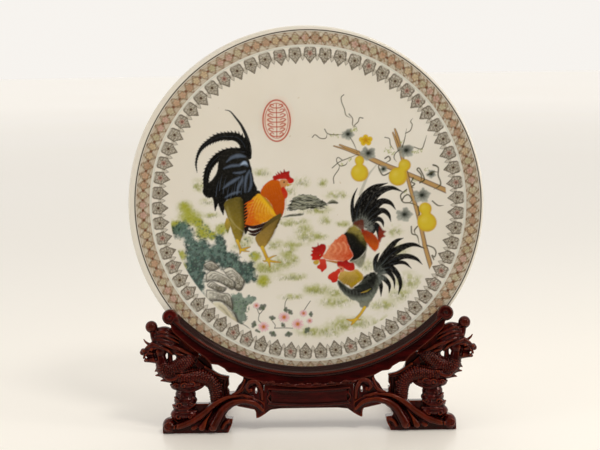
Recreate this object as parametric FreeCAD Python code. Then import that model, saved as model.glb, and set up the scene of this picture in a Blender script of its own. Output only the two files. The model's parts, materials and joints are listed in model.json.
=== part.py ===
"""A round porcelain display plate standing in a carved hardwood stand.

The front of the stand and the plate lean back together. Each piece is drawn
in that leaning frame: x runs to the right, w up the lean, n forward from the
plane of the plate's rim. It is then tilted back onto the table. Every piece
is a solid of its own, written to parts/ under its node's name.
"""

import FreeCAD, Part
import math
import os

V = FreeCAD.Vector

# Whole object, mm and degrees
LEAN = 8.0
TABLE_GAP = 0.5
DEPTH_SHIFT = 44.17

# Plate
PLATE_R = 175.0
PLATE_W = 222.0
DISH_DEPTH = 26.0
DISH_POWER = 2.6
RIM_T = 3.4
MIDDLE_T = 5.4
PLATE_DEPTH = 38.0
FOOT_RING_R = 92.0
FOOT_RING_HALF_TOP = 4.5
FOOT_RING_HALF_BOTTOM = 1.8

# Cradle: the front rail's arcs share a centre above the plate's
ARC_W = 239.5
LIP_R = 178.0
COVE_R = 183.5
BEAD_R = 185.0
STRIP_R = 193.0
RAIL_OUTER_R = 180.5
RAIL_HALF_ANGLE = 46.0
RAIL_BACK = 1.0
RAIL_FRONT = 11.0
VOLUTE_X = 134.6
VOLUTE_W = 112.3
VOLUTE_R = 7.8
SEAT_R = 175.3
SEAT_OUTER_R = 180.0
SEAT_BACK = -10.0
SEAT_HALF_ANGLE = 47.0
REAR_RAIL_R = 164.0
REAR_RAIL_BACK = -20.0

# Apron and the carved strip above it
FLAT_ARC_R = 360.0
FLAT_ARC_W = 402.0
STRIP_HALF = 48.0
APRON_HALF = 44.0
APRON_BOTTOM_W = 21.0
FIELD_HALF = 40.0
FIELD_TOP_R = 363.1
FIELD_BOTTOM_W = 24.4

# Legs, pillars, dragons
LEG_BACK = -8.0
LEG_FRONT = 15.0
LEG_TOP_FLAT = 12.5
FOOT_KNOB_X = 138.0
PILLAR_X = 120.5
PILLAR_N = 3.0
DRAGON_N = 4.0

# Back of the stand, in table coordinates before the depth shift
RUNNER_X = (84.5, 98.5)
RUNNER_MIDDLE = 91.5
RUNNER_H = 14.0
RUNNER_END = 104.5
STRUT_BACK = -31.0
STRUT_FRONT = -20.0
STRETCHER_W = (26.0, 34.0)

# Fasteners and pads
PIN_R = 1.0
DOWEL_R = 2.5
SCREW_R = 1.6
SCREW_HEAD_R = 3.4
PAD_R = 6.0
PAD_T = 1.5


# ---------------------------------------------------------------- helpers


def at(x, w, n=0.0):
    """A point x to the right, w up the lean and n forward of the rim plane."""
    return V(x, -n, w)


def curve(points):
    """A straight edge through two points, or a smooth one through more."""
    if len(points) == 2:
        return Part.makeLine(points[0], points[1])
    spline = Part.BSplineCurve()
    spline.interpolate(points)
    return spline.toShape()


def board(stretches, back, front):
    """A flat board whose outline is a ring of stretches of (x, w) points."""
    edges = [curve([at(x, w, back) for x, w in points]) for points in stretches]
    face = Part.Face(Part.Wire(edges))
    return face.extrude(V(0, back - front, 0))


def strand(path, back, front):
    """A flat tapered strand along (x, w, half width) points, with blunt ends."""
    left = []
    right = []
    for i, (x, w, half) in enumerate(path):
        before = path[max(i - 1, 0)]
        after = path[min(i + 1, len(path) - 1)]
        dx = after[0] - before[0]
        dw = after[1] - before[1]
        size = math.hypot(dx, dw)
        left.append((x - dw / size * half, w + dx / size * half))
        right.append((x + dw / size * half, w - dx / size * half))
    right.reverse()
    ends = [[left[-1], right[0]], [right[-1], left[0]]]
    return board([left, ends[0], right, ends[1]], back, front)


def limb(path):
    """A round tapering limb through (x, w, n, radius) points."""
    rings = []
    for i, (x, w, n, radius) in enumerate(path):
        before = path[max(i - 1, 0)]
        after = path[min(i + 1, len(path) - 1)]
        along = at(*after[:3]) - at(*before[:3])
        rings.append(Part.Wire(Part.makeCircle(radius, at(x, w, n), along)))
    return Part.makeLoft(rings, True, False)


def ring_sector(centre_w, profile, half_angle):
    """A closed (radius, n) profile swept round a centre, hanging below it."""
    side = math.sin(math.radians(half_angle))
    drop = math.cos(math.radians(half_angle))
    points = [at(-r * side, centre_w - r * drop, n) for r, n in profile]
    points.append(points[0])
    face = Part.Face(Part.makePolygon(points))
    return face.revolve(at(0, centre_w), V(0, -1, 0), 2 * half_angle)


def disc(x, w, radius, back, front):
    """A round boss or hole whose axis runs front to back."""
    return Part.makeCylinder(radius, front - back, at(x, w, back), V(0, -1, 0))


def ball(x, w, n, radius):
    return Part.makeSphere(radius, at(x, w, n))


def polar(radius, degrees, centre_w=PLATE_W):
    """The (x, w) point at an angle to the right of straight down."""
    turn = math.radians(degrees)
    return (radius * math.sin(turn), centre_w - radius * math.cos(turn))


def fused(pieces):
    whole = pieces[0].multiFuse(pieces[1:])
    return whole.removeSplitter()


def mirrored(shape):
    return shape.mirror(V(0, 0, 0), V(1, 0, 0))


def tilted(shape):
    """Leans a piece back about the table's edge line and sets it in place."""
    placed = shape.copy()
    placed.rotate(V(0, 0, 0), V(1, 0, 0), -LEAN)
    placed.translate(V(0, -DEPTH_SHIFT, TABLE_GAP))
    return placed


def table_box(x0, x1, y0, y1, z0, z1):
    """An upright box in table coordinates, before the depth shift."""
    box = Part.makeBox(x1 - x0, y1 - y0, z1 - z0, V(x0, y0, z0))
    box.translate(V(0, -DEPTH_SHIFT, TABLE_GAP))
    return box


def above_table(shape):
    """Cuts a tilted piece flat along its underside."""
    below = Part.makeBox(400, 300, 40, V(-200, -150, TABLE_GAP - 40))
    return shape.cut(below)


# ------------------------------------------------------------------ plate


def dish_n(r):
    """How far forward the plate's painted face is at radius r."""
    return -DISH_DEPTH * (1 - (r / PLATE_R) ** DISH_POWER)


def back_n(r):
    """How far forward the plate's back is at radius r."""
    return dish_n(r) - MIDDLE_T + (MIDDLE_T - RIM_T) * (r / PLATE_R) ** 2


def plate():
    """The plate turned about its own axis: dish, rounded edge, foot ring."""

    def profile(points):
        return curve([at(r, PLATE_W, n) for r, n in points])

    front_edge = 173.2
    back_edge = 172.6
    outer = FOOT_RING_R + FOOT_RING_HALF_TOP
    inner = FOOT_RING_R - FOOT_RING_HALF_TOP
    tip_outer = FOOT_RING_R + FOOT_RING_HALF_BOTTOM
    tip_inner = FOOT_RING_R - FOOT_RING_HALF_BOTTOM
    tip_n = -PLATE_DEPTH + 1.2
    front = [(r, dish_n(r)) for r in (0, 30, 60, 90, 115, 135, 150, 162, front_edge)]
    rim_mid = (dish_n(front_edge) + back_n(back_edge)) / 2
    back = [(r, back_n(r)) for r in (back_edge, 162, 148, 130, 112, outer)]
    middle = [(r, back_n(r)) for r in (inner, 60, 30, 0)]
    edges = [
        profile(front),
        Part.Arc(
            at(front_edge, PLATE_W, front[-1][1]),
            at(PLATE_R, PLATE_W, rim_mid),
            at(back_edge, PLATE_W, back[0][1]),
        ).toShape(),
        profile(back),
        profile([back[-1], (tip_outer, tip_n)]),
        Part.Arc(
            at(tip_outer, PLATE_W, tip_n),
            at(FOOT_RING_R, PLATE_W, -PLATE_DEPTH),
            at(tip_inner, PLATE_W, tip_n),
        ).toShape(),
        profile([(tip_inner, tip_n), middle[0]]),
        profile(middle),
        profile([middle[-1], front[0]]),
    ]
    face = Part.Face(Part.Wire(edges))
    return face.revolve(at(0, PLATE_W), V(0, -1, 0), 360)


# ----------------------------------------------------------------- cradle


def rail_outline():
    """The front rail's lower edge with its scallops, closed over its top.

    Each point is an angle from straight down and a rise past the outer radius.
    """
    half = [
        [(0, 0), (7, 0), (14, 0), (20.7, 0)],
        [(20.7, 0), (23.4, -0.5), (25.9, 1.4)],
        [(25.9, 1.4), (27.0, -0.1)],
        [(27.0, -0.1), (29.4, -0.3), (31.8, 2.1)],
        [(31.8, 2.1), (33.5, 0.1)],
        [(33.5, 0.1), (37, 0.1), (41, 0.1), (46.9, 0.7)],
        [(46.9, 0.7), (49.6, -4.5)],
        [(49.6, -4.5), (54, -10.5)],
    ]
    right = [[polar(RAIL_OUTER_R + rise, angle) for angle, rise in part] for part in half]
    left = [[(-x, w) for x, w in reversed(part)] for part in reversed(right)]
    top = (0.0, PLATE_W)
    closing = [[right[-1][-1], top], [top, left[0][0]]]
    return left + right + closing


def cradle_front_rail():
    """The moulded arc: dark cove, bead, flat fascia, and a volute each end."""
    profile = [
        (LIP_R, RAIL_BACK),
        (LIP_R, 3.5),
        (LIP_R + 3, 6.0),
        (COVE_R, RAIL_FRONT - 0.5),
        (COVE_R + 0.4, RAIL_FRONT + 0.8),
        (BEAD_R + 0.4, RAIL_FRONT + 0.8),
        (BEAD_R + 1.0, RAIL_FRONT - 0.6),
        (BEAD_R + 3.5, RAIL_FRONT - 1.0),
        (STRIP_R + 12, RAIL_FRONT),
        (STRIP_R + 12, RAIL_BACK),
    ]
    band = ring_sector(ARC_W, profile, RAIL_HALF_ANGLE)
    band = band.common(board(rail_outline(), RAIL_BACK, RAIL_FRONT + 2))
    pieces = [band]
    for side in (-1, 1):
        x = side * VOLUTE_X
        scroll = disc(x, VOLUTE_W, VOLUTE_R, RAIL_BACK, RAIL_FRONT + 1.5)
        groove = disc(x, VOLUTE_W, VOLUTE_R - 1.8, RAIL_FRONT, RAIL_FRONT + 2)
        eye = disc(x, VOLUTE_W, VOLUTE_R - 4.2, RAIL_FRONT - 1, RAIL_FRONT + 1.8)
        pieces += [scroll.cut(groove), eye]
    return fused(pieces)


def cradle_seat():
    """The floor of the groove that the plate's edge rests in."""
    profile = [
        (SEAT_R, SEAT_BACK),
        (SEAT_R, RAIL_BACK),
        (SEAT_OUTER_R, RAIL_BACK),
        (SEAT_OUTER_R, SEAT_BACK),
    ]
    return ring_sector(PLATE_W, profile, SEAT_HALF_ANGLE)


def cradle_rear_rail():
    """The back wall of the groove, with rounded ends."""
    profile = [
        (REAR_RAIL_R, REAR_RAIL_BACK),
        (REAR_RAIL_R, SEAT_BACK),
        (SEAT_OUTER_R, SEAT_BACK),
        (SEAT_OUTER_R, REAR_RAIL_BACK),
    ]
    middle_r = (REAR_RAIL_R + SEAT_OUTER_R) / 2
    pieces = [ring_sector(PLATE_W, profile, SEAT_HALF_ANGLE)]
    for side in (-1, 1):
        x, w = polar(middle_r, side * SEAT_HALF_ANGLE)
        end_r = (SEAT_OUTER_R - REAR_RAIL_R) / 2
        pieces.append(disc(x, w, end_r, REAR_RAIL_BACK, SEAT_BACK))
    return fused(pieces)


# ---------------------------------------------------------- apron and strip


def strip_region(back, front):
    """The space under the rail's middle, above the apron."""
    half_angle = math.degrees(math.asin(STRIP_HALF / STRIP_R))
    edge = FLAT_ARC_W - math.sqrt(FLAT_ARC_R**2 - STRIP_HALF**2)
    shoulder = ARC_W - STRIP_R * math.cos(math.radians(half_angle))
    fractions = (-1, -0.5, 0, 0.5, 1)
    top = [polar(STRIP_R, half_angle * f, ARC_W) for f in fractions]
    xs = [STRIP_HALF * f for f in fractions]
    bottom = [(x, FLAT_ARC_W - math.sqrt(FLAT_ARC_R**2 - x**2)) for x in xs]
    bottom.reverse()
    sides = [
        [(STRIP_HALF, shoulder), (STRIP_HALF, edge)],
        [(-STRIP_HALF, edge), (-STRIP_HALF, shoulder)],
    ]
    return board([top, sides[0], bottom, sides[1]], back, front)


def relief_strip():
    """A low carved strip of leaf scrolls about a centre rosette."""
    ground = strip_region(RAIL_BACK, RAIL_FRONT)
    leaves = [ball(0, 44.4, RAIL_FRONT - 2.2, 4.2)]
    for side in (-1, 1):
        for step in range(1, 6):
            x = side * 8.4 * step
            sag = ARC_W - math.sqrt((STRIP_R + 2.6) ** 2 - x**2)
            leaves.append(ball(x, sag, RAIL_FRONT - 1.6 + 0.12 * step, 3.0))
    bounds = strip_region(RAIL_BACK, RAIL_FRONT + 3)
    return fused([ground] + [leaf.common(bounds) for leaf in leaves])


def apron_panel():
    """The flat centre panel: a raised field between two beads."""
    xs = (-APRON_HALF, -APRON_HALF / 2, 0, APRON_HALF / 2, APRON_HALF)
    top = [(x, FLAT_ARC_W - math.sqrt(FLAT_ARC_R**2 - x**2)) for x in xs]
    corner = top[-1][1]
    low = (APRON_HALF, APRON_BOTTOM_W - 5.0)
    flare = [low, (37.5, APRON_BOTTOM_W - 1.8), (31, APRON_BOTTOM_W - 0.2), (24, APRON_BOTTOM_W)]
    flare_left = [(-x, w) for x, w in reversed(flare)]
    outline = [
        top,
        [(APRON_HALF, corner), low],
        flare,
        [flare[-1], flare_left[0]],
        flare_left,
        [flare_left[-1], (-APRON_HALF, corner)],
    ]
    ground = board(outline, RAIL_BACK, RAIL_FRONT - 2)
    field_profile = [
        (FIELD_TOP_R + 0.8, RAIL_FRONT - 3),
        (FIELD_TOP_R + 0.8, RAIL_FRONT),
        (FLAT_ARC_W - FIELD_BOTTOM_W - 0.8, RAIL_FRONT),
        (FLAT_ARC_W - FIELD_BOTTOM_W - 0.8, RAIL_FRONT - 3),
    ]
    field_angle = math.degrees(math.asin(FIELD_HALF / FIELD_TOP_R))
    field = ring_sector(FLAT_ARC_W, field_profile, field_angle)
    beads = []
    for radius in (FIELD_TOP_R, FLAT_ARC_W - FIELD_BOTTOM_W):
        profile = [
            (radius - 1.1, RAIL_FRONT - 2.5),
            (radius - 1.1, RAIL_FRONT + 0.4),
            (radius - 0.5, RAIL_FRONT + 1.2),
            (radius + 0.5, RAIL_FRONT + 1.2),
            (radius + 1.1, RAIL_FRONT + 0.4),
            (radius + 1.1, RAIL_FRONT - 2.5),
        ]
        beads.append(ring_sector(FLAT_ARC_W, profile, field_angle))
    return fused([ground, field] + beads)


def bracket():
    """A pierced scroll filling the corner between leg, apron and rail."""
    outline = [
        [(44, 20), (44, 56)],
        [(44, 56), (63, 56)],
        [(63, 56), (64, 50), (68.5, 44.5), (70.5, 39), (75, 35)],
        [(75, 35), (70, 22)],
        [(70, 22), (44, 20)],
    ]
    scroll = board(outline, RAIL_BACK, RAIL_FRONT - 3)
    curls = [
        strand([(45, 33, 1.6), (49, 47, 2.2), (58, 46, 2.6), (60, 38, 2.0)], 1, RAIL_FRONT),
        strand([(70, 37, 2.0), (64, 41, 2.6), (62, 48, 2.2)], 1, RAIL_FRONT - 1),
        ball(56.5, 38.0, RAIL_FRONT - 3, 3.6),
    ]
    eye = disc(51.5, 38.0, 2.0, -5, 20)
    drop = disc(51.5, 41.0, 1.6, -5, 20)
    slot = board([[(49.6, 38.5), (53.4, 38.5)], [(53.4, 38.5), (52.9, 41.6)],
                  [(52.9, 41.6), (50.1, 41.6)], [(50.1, 41.6), (49.6, 38.5)]], -5, 20)
    front = board(outline, RAIL_BACK, RAIL_FRONT + 2)
    whole = fused([scroll] + [curl.common(front) for curl in curls])
    return whole.cut(eye).cut(drop).cut(slot)


# ------------------------------------------------------------------- legs


def leg():
    """A fluted C-scroll foot with an arch inside and a knob at its heel."""
    below = -4.0
    outline = [
        [(51.2, 13.4), (53.6, 18.4), (58.4, 22.6), (65.7, 24.1), (74, 22), (80, 17), (82.8, 11.6)],
        [(82.8, 11.6), (79.5, 10.8), (76, 9.4), (75, 6.5), (76.6, 3), (78.4, 0)],
        [(78.4, 0), (80, below)],
        [(80, below), (144.6, below)],
        [(144.6, below), (144.4, 2), (142.8, 8), (138.5, 12.2), (133, LEG_TOP_FLAT)],
        [(133, LEG_TOP_FLAT), (112, LEG_TOP_FLAT)],
        [(112, LEG_TOP_FLAT), (104, 19.8), (95.4, 27), (87.7, 31.6), (79, 35), (70, 36), (60, 34),
         (50, 30), (APRON_HALF, 26)],
        [(APRON_HALF, 26), (APRON_HALF, 16)],
        [(APRON_HALF, 16), (47.5, 14.8), (51.2, 13.4)],
    ]
    body = board(outline, LEG_BACK, LEG_FRONT - 3)
    sweep = [(136, 3.4, 2.4), (124, 5.4, 3.4), (112, 10.4, 3.6), (100.7, 18, 3.2), (88.5, 27, 3.0),
             (78.5, 31.8, 2.2), (66, 33.4, 1.4)]
    arch = [(46.7, 20, 2.4), (52.8, 26.4, 2.8), (63.3, 29, 2.8), (74.6, 26.8, 2.9), (84.5, 20, 3.2),
            (90.5, 11.4, 3.6), (96, -3.5, 4.2)]
    outer_toe = [(110, -3.5, 4.6), (101, 5, 3.6), (95, 15, 2.0), (89, 22.5, 0.9)]
    trim = board(outline, LEG_BACK, LEG_FRONT + 2)
    ridges = [
        strand(sweep, 0, LEG_FRONT).common(trim),
        strand(arch, 0, LEG_FRONT + 1).common(trim),
        strand(outer_toe, 0, LEG_FRONT - 1).common(trim),
        ball(FOOT_KNOB_X, 5.6, LEG_FRONT - 6.5, 6.6).common(trim),
        disc(79.4, 6.4, 4.0, 0, LEG_FRONT - 1).common(trim),
    ]
    return fused([body] + ridges)


def cloud_pillar():
    """A short turned stack of cloud scrolls between the foot and the dragon."""
    profile = [(0, 10), (13.6, 10), (14.6, 15), (13.4, 20.4), (12.2, 23), (13.2, 27.5), (12.0, 31.5),
               (10.2, 35), (11.2, 38.5), (13.8, 43), (14.6, 47.5), (12.5, 51), (0, 51)]
    points = [at(PILLAR_X + r, w, PILLAR_N) for r, w in profile]
    edges = [
        curve(points[:2]),
        curve(points[1:-1]),
        curve(points[-2:]),
        curve([points[-1], points[0]]),
    ]
    face = Part.Face(Part.Wire(edges))
    core = face.revolve(at(PILLAR_X, 0, PILLAR_N), V(0, 0, 1), 360)
    swirls = [
        ball(PILLAR_X - 10.0, 45.5, PILLAR_N + 9.0, 4.8),
        ball(PILLAR_X + 3.0, 44.0, PILLAR_N + 11.0, 4.6),
        ball(PILLAR_X + 8.5, 17.0, PILLAR_N + 9.0, 5.2),
        ball(PILLAR_X - 7.5, 18.0, PILLAR_N + 9.5, 4.6),
    ]
    return fused([core] + swirls)


# ---------------------------------------------------------------- dragons


def dragon():
    """An S-curved dragon facing outward: tail, back, chest, neck and head."""
    n = DRAGON_N
    body = limb([(88, 28, n, 7.6), (88.5, 36, n, 7.8), (91, 45, n, 8.2), (98, 52.5, n, 8.6),
                 (108, 55.5, n, 9.2), (119, 53, n, 9.8), (130, 51.5, n, 10), (139, 54, n, 9.2),
                 (144.5, 62, n, 8.4), (146.5, 71, n, 8.0)])
    neck = limb([(113, 60, n, 7.0), (121, 62.5, n, 7.4), (128, 60.5, n, 7.4), (135, 58, n, 7.0)])
    head = limb([(141, 79, n, 8.6), (148, 79.5, n, 9.0), (154.5, 77.5, n, 7.6), (160, 76.5, n, 5.6),
                 (163.2, 76.8, n, 3.8)])
    jaw = limb([(146, 70, n, 6.0), (152.5, 69, n, 5.0), (158, 68.6, n, 3.4)])
    brow = strand([(146, 85, 3.6), (153, 83.4, 3.4), (158.5, 83.5, 2.4), (161.2, 87.5, 0.8)], -3, 11)
    mane_low = strand([(152, 86, 2.6), (140, 80.5, 3.2), (126, 76, 3.2), (112, 72, 3.4), (100, 68, 2.0)],
                      -4, 10)
    mane_high = strand([(150, 93, 3.2), (140, 92, 4.2), (128, 88.5, 4.6), (116, 82, 4.0), (106, 76.5, 2)],
                       -5, 8)
    crest = strand([(146, 97.5, 3.6), (138, 97.2, 4.2), (131, 94, 3.6)], -4, 9)
    fin = strand([(78, 51.5, 1.8), (88, 57.5, 2.8), (99, 62.5, 4.6), (107, 68, 5.2)], -3, 6)
    stem = limb([(146, 86, n, 6.4), (149, 92, n, 5.4), (152, 97, n, 4.0)])
    pearl = ball(153.2, 99.6, n, 6.4)
    beard = strand([(150, 66, 3.4), (148.5, 58, 3.2), (147.5, 52.5, 1.2)], -2, 8)
    spur = strand([(141, 50, 3.2), (136.5, 46.6, 2.4), (131.5, 41.5, 1.0)], -2, 8)
    chest_spine = strand([(147, 60, 2.6), (151, 57.5, 1.0)], 0, 7)
    nose = ball(161.2, 79.0, n, 3.2)
    post = board([[(78, 33), (78, 52)], [(78, 52), (87, 52)], [(87, 52), (87, 33)],
                  [(87, 33), (78, 33)]], -6, 0)
    shoulder = board([[(94, 57), (94, 66)], [(94, 66), (105, 73.4)], [(105, 73.4), (114, 75)],
                      [(114, 75), (120, 60)], [(120, 60), (94, 57)]], -6, 0)
    return fused([body, neck, head, jaw, brow, mane_low, mane_high, crest, fin, stem, pearl, beard,
                  spur, chest_spine, nose, post, shoulder])


# ------------------------------------------------------ back of the stand


def base_runner():
    """A flat runner from the foot to behind the plate, rounded at the back."""
    x0, x1 = RUNNER_X
    half = (x1 - x0) / 2
    front = table_box(x0, x1, 0, RUNNER_END - half, 0, RUNNER_H)
    heel = Part.makeCylinder(half, RUNNER_H, V((x0 + x1) / 2, RUNNER_END - half, 0))
    heel.translate(V(0, -DEPTH_SHIFT, TABLE_GAP))
    foot_space = [[(70, -20), (70, 40)], [(70, 40), (150, 40)], [(150, 40), (150, -20)],
                  [(150, -20), (70, -20)]]
    return fused([front, heel]).cut(tilted(board(foot_space, LEG_BACK, LEG_FRONT + 20)))


def rear_strut():
    """A bent strut from the runner up to the back of the rear rail."""
    path = [(RUNNER_MIDDLE, -2, 5.5), (RUNNER_MIDDLE, 14, 5.5), (92, 30, 5.5), (96.5, 45, 5.5),
            (104, 60, 5.5), (111.5, 74, 5.5), (119, 88, 5.5)]
    return strand(path, STRUT_BACK, STRUT_FRONT)


def rear_stretcher():
    """A straight bar that ties the two struts together behind the apron."""
    low, high = STRETCHER_W
    return board([[(-100, low), (-100, high)], [(-100, high), (100, high)],
                  [(100, high), (100, low)], [(100, low), (-100, low)]],
                 STRUT_BACK + 1, STRUT_FRONT - 1)


# ------------------------------------------------------- fasteners and pads


def rod(start, end, radius):
    """A round dowel, pin or screw shank between two points."""
    along = end - start
    return Part.makeCylinder(radius, along.Length, start, along)


def screw(head, tip):
    """A countersunk wood screw from its head's face to its tip."""
    along = tip - head
    along.normalize()
    cone = Part.makeCone(SCREW_HEAD_R, SCREW_R, 2.4, head, along)
    return fused([cone, rod(head, tip, SCREW_R)])


def both_sides(shapes):
    """The given solids and their mirror images."""
    return shapes + [mirrored(shape) for shape in shapes]


def rail_pins():
    """Short pins through seat, front rail and rear rail."""
    radius = (SEAT_R + SEAT_OUTER_R) / 2
    pins = []
    for step in range(-3, 4):
        x, w = polar(radius, 14 * step)
        pins.append(rod(at(x, w, SEAT_BACK - 6), at(x, w, RAIL_BACK + 6), PIN_R))
    return pins


def apron_dowels():
    n = (RAIL_BACK + RAIL_FRONT - 2) / 2
    return both_sides([rod(at(37, 22.5, n), at(51.5, 22.5, n), DOWEL_R)])


def pillar_dowels():
    return both_sides([rod(at(PILLAR_X, 5, PILLAR_N), at(PILLAR_X, 22, PILLAR_N), DOWEL_R)])


def dragon_dowels():
    tail = rod(at(88, 22, DRAGON_N), at(88, 38, DRAGON_N), DOWEL_R)
    chest = rod(at(PILLAR_X, 36, DRAGON_N), at(PILLAR_X, 56, DRAGON_N), DOWEL_R)
    return both_sides([tail, chest])


def runner_dowels():
    """Dowels from each foot's back into the front end of its runner."""
    rods = []
    for x in (88.0, 95.0):
        pin = rod(V(x, -3, 6.5), V(x, 17, 6.5), DOWEL_R)
        pin.translate(V(0, -DEPTH_SHIFT, TABLE_GAP))
        rods.append(pin)
    return both_sides(rods)


def strut_screws():
    """Screws through the struts' tops into the rear rail."""
    shapes = []
    for x, w in ((111.5, 75.0), (117.5, 85.5)):
        shapes.append(screw(at(x, w, STRUT_BACK), at(x, w, STRUT_FRONT + 6.5)))
    return both_sides(shapes)


def runner_screws():
    """Screws up through the runners into the struts."""
    foot = V(RUNNER_MIDDLE, 28.5, 0.1)
    lift = screw(foot, foot + V(0, 0, 22))
    lift.translate(V(0, 1.5 - DEPTH_SHIFT, TABLE_GAP))
    return both_sides([lift])


def stretcher_screws():
    """Screws from the struts' outer sides into the stretcher's ends."""
    low, high = STRETCHER_W
    w = (low + high) / 2
    n = STRUT_FRONT - SCREW_HEAD_R - 0.2
    return both_sides([screw(at(97.4, w, n), at(75.5, w, n))])


def foot_pads():
    """Felt discs let into the underside: four under the feet, two behind."""
    places = [(88.0, -2.0), (134.0, -2.0), (RUNNER_MIDDLE, RUNNER_END - 12)]
    pads = []
    for x, y in places:
        pads.append(Part.makeCylinder(PAD_R, PAD_T, V(x, y - DEPTH_SHIFT, 0)))
    return both_sides(pads)


# ---------------------------------------------------------------- assembly


def carve(shape, takers):
    """Removes from a piece the space that its neighbours hold."""
    for taker in takers:
        shape = shape.cut(taker)
    return shape


def largest(shape):
    """The one solid that is left when joints trim crumbs off a piece."""
    return max(shape.Solids, key=lambda solid: solid.Volume)


def build():
    """Every node by name, cut to meet its neighbours face to face."""
    rail = cradle_front_rail()
    strip = relief_strip()
    apron = apron_panel()
    rail = largest(rail.cut(strip_region(RAIL_BACK, RAIL_FRONT + 3)))
    foot = carve(leg(), [apron])
    corner = carve(bracket(), [rail, strip, apron, foot])
    pillar = carve(cloud_pillar(), [foot])
    seat = cradle_seat()
    rear = cradle_rear_rail()
    beast = carve(dragon(), [rail, seat, rear, foot, pillar])

    nodes = {
        "plate": tilted(plate()),
        "cradle_front_rail": tilted(rail),
        "cradle_seat": tilted(seat),
        "cradle_rear_rail": tilted(rear),
        "relief_strip": tilted(strip),
        "apron_panel": tilted(apron),
    }
    runner = largest(base_runner())
    halves = {
        "bracket": tilted(largest(corner)),
        "leg": above_table(tilted(largest(foot))),
        "cloud_pillar": largest(tilted(pillar).cut(runner)),
        "dragon": tilted(largest(beast)),
        "base_runner": runner,
        "rear_strut": largest(above_table(tilted(rear_strut())).cut(runner)),
    }
    for name, shape in halves.items():
        nodes[name + "_right"] = shape
        nodes[name + "_left"] = mirrored(shape)
    struts = [nodes["rear_strut_left"], nodes["rear_strut_right"]]
    nodes["rear_stretcher"] = largest(carve(tilted(rear_stretcher()), struts))

    fasteners = {
        "rail_pins": [tilted(s) for s in rail_pins()],
        "apron_dowels": [tilted(s) for s in apron_dowels()],
        "pillar_dowels": [tilted(s) for s in pillar_dowels()],
        "dragon_dowels": [tilted(s) for s in dragon_dowels()],
        "strut_screws": [tilted(s) for s in strut_screws()],
        "stretcher_screws": [tilted(s) for s in stretcher_screws()],
        "runner_dowels": runner_dowels(),
        "runner_screws": runner_screws(),
        "foot_pads": foot_pads(),
    }
    return with_fasteners(nodes, fasteners)


def with_fasteners(nodes, fasteners):
    """Drills each wooden piece for the fasteners that pass into it."""
    for solids in fasteners.values():
        for name, shape in list(nodes.items()):
            if name == "plate":
                continue
            near = [s for s in solids if s.BoundBox.intersect(shape.BoundBox)]
            if near:
                nodes[name] = largest(carve(shape, near))
    for name, solids in fasteners.items():
        nodes[name] = Part.makeCompound(solids)
    return nodes


def main():
    os.makedirs("parts", exist_ok=True)
    for name, shape in build().items():
        shape.exportStep(os.path.join("parts", name + ".step"))
        box = shape.BoundBox
        print(
            f"{name:20s} solids {len(shape.Solids)} valid {shape.isValid()} "
            f"x {box.XMin:7.1f} {box.XMax:7.1f} y {box.YMin:7.1f} {box.YMax:7.1f} "
            f"z {box.ZMin:6.1f} {box.ZMax:6.1f} volume {shape.Volume / 1000:8.2f} cm3"
        )


main()
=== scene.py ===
"""Looks of the painted display plate and its carved stand.

Everything is drawn in the stand's leaning frame, in millimetres: x to the
right, w up the lean from the underside of the wooden feet, n forward from the
plane of the plate's rim. place() turns such points into metres in the CAD
frame.
"""

import json
import math

import bmesh
import bpy
import numpy as np
from mathutils import Matrix, Vector


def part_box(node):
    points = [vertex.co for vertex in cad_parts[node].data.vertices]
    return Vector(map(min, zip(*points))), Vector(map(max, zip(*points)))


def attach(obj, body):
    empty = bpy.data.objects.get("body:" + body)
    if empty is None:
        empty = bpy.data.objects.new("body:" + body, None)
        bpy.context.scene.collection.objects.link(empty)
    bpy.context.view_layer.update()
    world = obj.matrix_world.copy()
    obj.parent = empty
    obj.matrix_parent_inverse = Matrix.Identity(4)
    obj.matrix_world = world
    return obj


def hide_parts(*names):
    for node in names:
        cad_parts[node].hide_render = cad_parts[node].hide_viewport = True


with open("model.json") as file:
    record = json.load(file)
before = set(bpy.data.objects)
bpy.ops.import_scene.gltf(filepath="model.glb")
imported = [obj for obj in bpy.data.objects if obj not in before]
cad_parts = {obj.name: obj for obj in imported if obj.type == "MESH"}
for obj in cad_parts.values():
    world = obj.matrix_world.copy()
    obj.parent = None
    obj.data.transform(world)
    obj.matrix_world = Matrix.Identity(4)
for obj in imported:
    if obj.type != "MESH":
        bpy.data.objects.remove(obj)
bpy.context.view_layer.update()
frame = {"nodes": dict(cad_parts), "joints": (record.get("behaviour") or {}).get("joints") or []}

MM = 0.001
FAR = 1e9
TINY = 1e-6
TURN = 2 * math.pi

# The lean, from the direction in which the plate lifts out
RIGHT = np.array([1.0, 0.0, 0.0])
UP = np.array(frame["joints"][0]["axis"], float)
UP /= np.linalg.norm(UP)
FORWARD = np.array([0.0, -UP[2], UP[1]])

# Plate, as in the CAD
PLATE_R = 175.0
PLATE_W = 222.0
DISH_DEPTH = 26.0
DISH_POWER = 2.6
RIM_T = 3.4
MIDDLE_T = 5.4
PLATE_DEPTH = 38.0
FOOT_RING_R = 92.0
FOOT_RING_HALF_TOP = 4.5
FOOT_RING_HALF_BOTTOM = 1.8
RIM_FRONT_N = -0.69

# Painting: the picture's grid, and the border's radii from its own middle,
# which lies BORDER_SHIFT to the right of the plate's
PICTURE_REACH = 140.4
PICTURE_PITCH = 0.62
BORDER_SHIFT = 1.9
PETAL_TIPS = 138.6
PETAL_FEET = 153.9
RINGS_MEET = 155.0
PALE_RING = 155.4
LATTICE_INNER = 156.9
LATTICE_OUTER = 169.0
LATTICE_MIDDLE = 162.9
LATTICE_HALF = 6.1
OUTER_LINE = 170.4
BORDER_OUTER = 171.2
PETALS = 62
DIAMONDS = 104
DIAMOND_WIDE = 9.8
DIAMOND_HIGH = 12.1


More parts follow.
